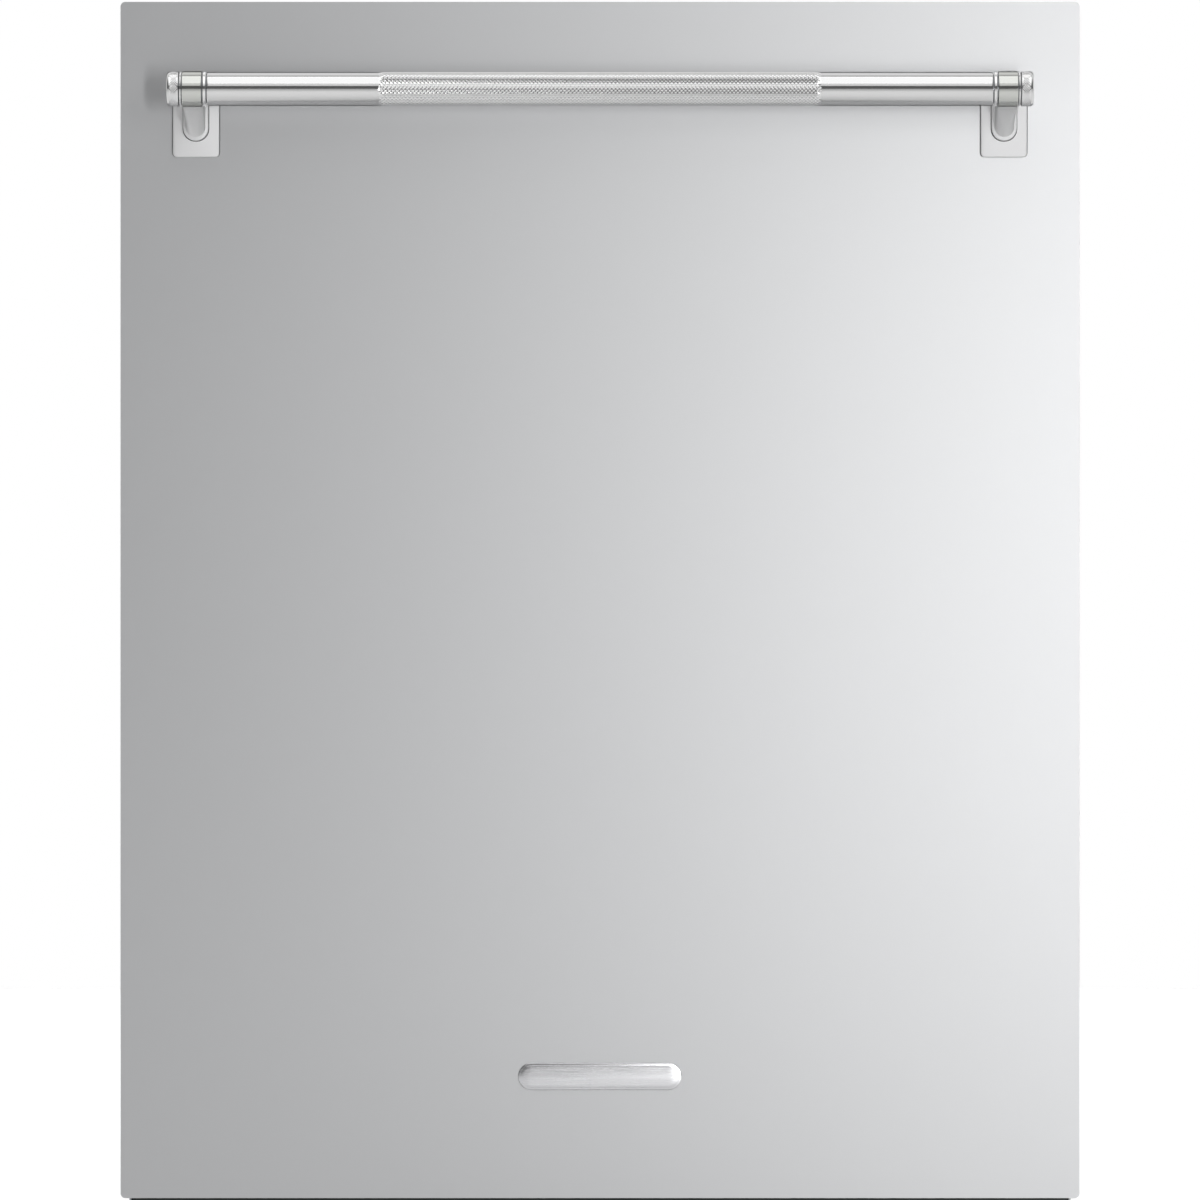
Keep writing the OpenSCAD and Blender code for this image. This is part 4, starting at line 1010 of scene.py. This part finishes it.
def make_foot(node, mirror=False):
    lo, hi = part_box(node)
    disc_r = (hi.y - lo.y) / 2
    x, y = hi.x - disc_r, (lo.y + hi.y) / 2
    neck = lo.z + 9 * MM
    base = [(lo.z, 0), (lo.z, disc_r - 2 * MM), (lo.z + 0.6 * MM, disc_r), (lo.z + 3.4 * MM, disc_r),
            (lo.z + 4.6 * MM, disc_r - 1.6 * MM), (lo.z + 5 * MM, 9 * MM), (neck, 8 * MM),
            (lo.z + 9.4 * MM, 5 * MM)]

    def ridges(ring, j):
        return -0.7 * MM * (j % 2) if 1 <= ring <= 4 else 0

    pad = Shape().turn(base, (x, y, 0), "z", 72, ridges)
    thread = thread_profile(neck, hi.z - MM, 4.9 * MM, 1.5 * MM, 0.6 * MM)
    stud = Shape().turn([(neck, 0)] + thread + [(hi.z, 3.6 * MM), (hi.z, 0)], (x, y, 0), "z", 32)
    if mirror:
        pad.mirrored()
        stud.mirrored()
    pad.stand_in(f"{node}_pad", node, FOOT)
    stud.piece(f"{node}_stud", node, SCREW)


def make_inlet():
    """Inlet valve: moulded body, threaded neck through the tray's rear wall, and coil on top."""
    lo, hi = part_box("inlet_valve")
    x = (lo.x + hi.x) / 2
    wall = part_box("base_tray")[1].y - SPIGOT_LENGTH
    z, top = lo.z + 25 * MM, lo.z + 50 * MM
    body_y = hi.y - 16 * MM
    body = Shape().block((lo.x, lo.y, lo.z), (hi.x, body_y, top), 2.5 * MM, 3)
    body.turn(rounded_profile(body_y - MM, wall, 15.1 * MM, 0.6 * MM, inner=9 * MM), (x, 0, z), "y", 48)
    neck = thread_profile(wall, hi.y - 0.8 * MM, 13.2 * MM, 1.81 * MM, MM)
    neck += [(hi.y, 12 * MM), (hi.y, 9.4 * MM), (wall - 8 * MM, 9.2 * MM), (wall - 8 * MM, 0)]
    body.turn(neck, (x, 0, z), "y", 48)
    body.stand_in("inlet_valve_body", "inlet_valve", PALE)
    coil = [(top - MM, 13 * MM), (top + 2 * MM, 14 * MM)]
    coil += [(lo.z + (52 + k) * MM, (13.6 if k % 4 < 2 else 14) * MM) for k in range(2, 26, 2)]
    coil += [(hi.z - MM, 14 * MM), (hi.z, 13 * MM), (hi.z, 0)]
    shape = Shape().turn(coil, (x, (lo.y + body_y) / 2, 0), "z", 48)
    shape.piece("inlet_valve_coil", "inlet_valve", BLUE_GREY)


for foot_node in ("foot_front_left", "foot_front_right"):
    make_foot(foot_node)
make_foot("rear_feet", mirror=True)
make_inlet()

# ---------- door liner and tub back ----------


def make_liner():
    lo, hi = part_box("door_liner")
    disp_lo, disp_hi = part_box("dispenser_body")
    rim_y = lo.y + MM
    field_x, field_z = 262 * MM, (lo.z + 57 * MM, hi.z - 21 * MM)
    field = rim_y + 10 * MM
    track_x, track_z = (244 * MM, 260 * MM), (lo.z + 62 * MM, lo.z + 447 * MM)
    relief_w = 400 * MM
    corner = (280 * MM, lo.z + 21 * MM)
    mid_z = (field_z[0] + field_z[1]) / 2
    field_w, field_h = 2 * field_x, field_z[1] - field_z[0]
    track_w, track_h = track_x[1] - track_x[0], track_z[1] - track_z[0]

    def height(x, z):
        rise = (field - rim_y) * step_up(in_round_rect(x, z - mid_z, field_w, field_h, 22 * MM), 6 * MM)
        track = in_round_rect(abs(x) - sum(track_x) / 2, z - sum(track_z) / 2, track_w, track_h, 6 * MM)
        panel = in_round_rect(x, z - (disp_hi.z + 130 * MM), relief_w, 120 * MM, 20 * MM)
        low_panel = in_round_rect(x, z - (disp_lo.z - 120 * MM), relief_w, 130 * MM, 20 * MM)
        pressed = 1.6 * MM * (step_up(panel, 4 * MM) + step_up(low_panel, 4 * MM))
        return rise + 8.6 * MM * step_up(track, 3 * MM) - pressed

    def hole(x, z):
        window = abs(x) < disp_hi.x and disp_lo.z < z < disp_hi.z
        return window or (abs(x) > corner[0] and z < corner[1])

    marks_x = [0, disp_hi.x, relief_w / 2 - 5 * MM, relief_w / 2 + 5 * MM, track_x[0], track_x[0] + 3 * MM,
               track_x[1] - 3 * MM, field_x, field_x + 4 * MM, corner[0], hi.x]
    half = lines_between(marks_x, 3 * MM)
    us = [-x for x in half[:0:-1]] + half
    marks_z = [lo.z, corner[1], field_z[0], field_z[0] + 8 * MM, track_z[0] + 8 * MM, disp_lo.z, disp_hi.z,
               track_z[1], track_z[1] + 4 * MM, field_z[1] - 8 * MM, field_z[1], hi.z]
    vs = lines_between(sorted(marks_z), 3 * MM)
    shape = Shape().add(*pressed_sheet(us, vs, lambda x, z, h: (x, rim_y + h, z), height, hole))
    shape.stand_in("pressed_liner", "door_liner", TUB, sharp=35)


def make_tub_back():
    lo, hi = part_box("tub_back")
    inner = lo.y
    bead_heights = (310, 490, 670)
    bead_half = 200

    def height(x, z):
        beads = sum(step_up(in_round_rect(x, z - b * MM, 2 * bead_half * MM, 20 * MM, 9.9 * MM), 6 * MM)
                    for b in bead_heights)
        return 3 * MM * beads

    marks_x = [(bead_half - 10) * MM, (bead_half + 5) * MM]
    marks_z = [(b + side * 15) * MM for b in bead_heights for side in (-1, 1)]
    us = lines_between([lo.x, -marks_x[1], -marks_x[0], *marks_x, hi.x], 5 * MM)
    vs = lines_between([lo.z, *marks_z, hi.z], 2.5 * MM)
    shape = Shape().add(*pressed_sheet(us, vs, lambda x, z, h: (x, inner + MM + h, z), height))
    shape.stand_in("pressed_tub_back", "tub_back", TUB, sharp=35)


make_liner()
make_tub_back()

# ---------- stage, light and camera ----------

PANEL_MID_Z = middle_of("front_panel")[2]
CAMERA_DISTANCE = 4.5
PANEL_SHARE = 0.79917  # of the frame's width
FRAME_WIDTH = (panel_hi.x - panel_lo.x) / PANEL_SHARE
SENSOR = 36.0
DIM, PALE_FRONT, BRIGHT = 0.11, 0.8, 1.0  # brightness of the studio's sides


def make_camera():
    data = bpy.data.cameras.new("camera")
    data.sensor_width = SENSOR
    data.lens = SENSOR * CAMERA_DISTANCE / FRAME_WIDTH
    data.clip_end = 100
    camera = new_object("camera", data)
    camera.location = (0, panel_lo.y - CAMERA_DISTANCE, PANEL_MID_Z)
    camera.rotation_euler = (math.pi / 2, 0, 0)
    bpy.context.scene.camera = camera


def area_light(name, place, target, size, radiance, half_spread=90, in_gloss=True):
    """A soft light. radiance is how bright its surface looks, so the size doesn't change that.
    half_spread is the angle in degrees from straight ahead at which its light fades to nothing."""
    half = math.radians(half_spread)
    data = bpy.data.lights.new(name, "AREA")
    data.shape = "RECTANGLE"
    data.size, data.size_y = size
    data.spread = 2 * half
    data.energy = radiance * math.pi * size[0] * size[1] * (1 - half / math.tan(half))
    light = new_object(name, data)
    light.location = place
    light.rotation_euler = (Vector(target) - Vector(place)).to_track_quat("-Z", "Y").to_euler()
    light.visible_camera = False
    light.visible_glossy = in_gloss
    return light


def spare(light, names):
    """Keeps a light off the named objects, as a flag does in a studio."""
    group = bpy.data.collections.new(f"{light.name}_spares")
    light.light_linking.receiver_collection = group
    for name in names:
        group.objects.link(bpy.data.objects[name])
    for member in group.collection_objects:
        member.light_linking.link_state = "EXCLUDE"


def make_world():
    """A pale backdrop, and a studio that lights the object from behind and is dim in front of it."""
    world = bpy.data.worlds.new("studio")
    world.use_nodes = True
    tree = world.node_tree
    coords = tree.nodes.new("ShaderNodeTexCoord")
    split = tree.nodes.new("ShaderNodeSeparateXYZ")
    tree.links.new(coords.outputs["Generated"], split.inputs["Vector"])
    seen = tree.nodes.new("ShaderNodeMix")
    tree.links.new(tree.nodes.new("ShaderNodeLightPath").outputs["Is Camera Ray"], seen.inputs["Factor"])
    for front, socket in ((DIM, "A"), (PALE_FRONT, "B")):
        ramp = tree.nodes.new("ShaderNodeMapRange")
        for name, value in (("From Min", -0.25), ("From Max", 0.45), ("To Min", front), ("To Max", BRIGHT)):
            ramp.inputs[name].default_value = value
        tree.links.new(split.outputs["Y"], ramp.inputs["Value"])
        tree.links.new(ramp.outputs["Result"], seen.inputs[socket])
    tree.links.new(seen.outputs["Result"], tree.nodes["Background"].inputs["Strength"])
    tree.nodes["Background"].inputs["Color"].default_value = (1, 1, 1, 1)
    bpy.context.scene.world = world


def make_floor():
    look = Look("floor", (0.9, 0.9, 0.9), 0.7)
    cloud = look.pattern(NOISE, 2.0, Detail=2.0)
    look.tint(cloud, 0.995, 1.005)
    side, front, back = 25.0, -14.0, 4.2
    mesh = bpy.data.meshes.new("floor")
    mesh.from_pydata([(-side, front, 0), (side, front, 0), (side, back, 0), (-side, back, 0)], [],
                     [(0, 1, 2, 3)])
    mesh.materials.append(look.mat)
    new_object("floor", mesh)


def make_lights():
    """Two narrow lamps for the panel's shade, soft light from above and in front, and a lit backdrop."""
    face = panel_lo.y
    middle = (0, face, PANEL_MID_Z)
    near = area_light("panel_near", (0.68, face - 1.8, 1.12), middle, (0.3, 0.5), 5.5, 75)
    far = area_light("panel_far", (0.74, face - 3.2, 0.46), middle, (0.2, 1.0), 24.0, 75)
    area_light("overhead", (0, face - 1.45, 2.4), (0, face - 1.45, 0), (2.4, 2.6), 1.05)
    area_light("front", (0, face - 3.0, 2.05), middle, (2.4, 0.7), 0.68, 75)
    area_light("backdrop", (0, 2.7, 2.6), (0, 2.9, 0), (9.0, 3.5), 1.6, in_gloss=False)
    for lamp in (near, far):
        spare(lamp, ("floor", "grip_smooth_ends", "handle_rings", "end_cap_knurl", "end_cap_domes",
                     "bracket_collar_left", "bracket_collar_right"))


make_camera()
make_floor()
make_world()
make_lights()
bpy.context.scene.view_settings.view_transform = "Standard"
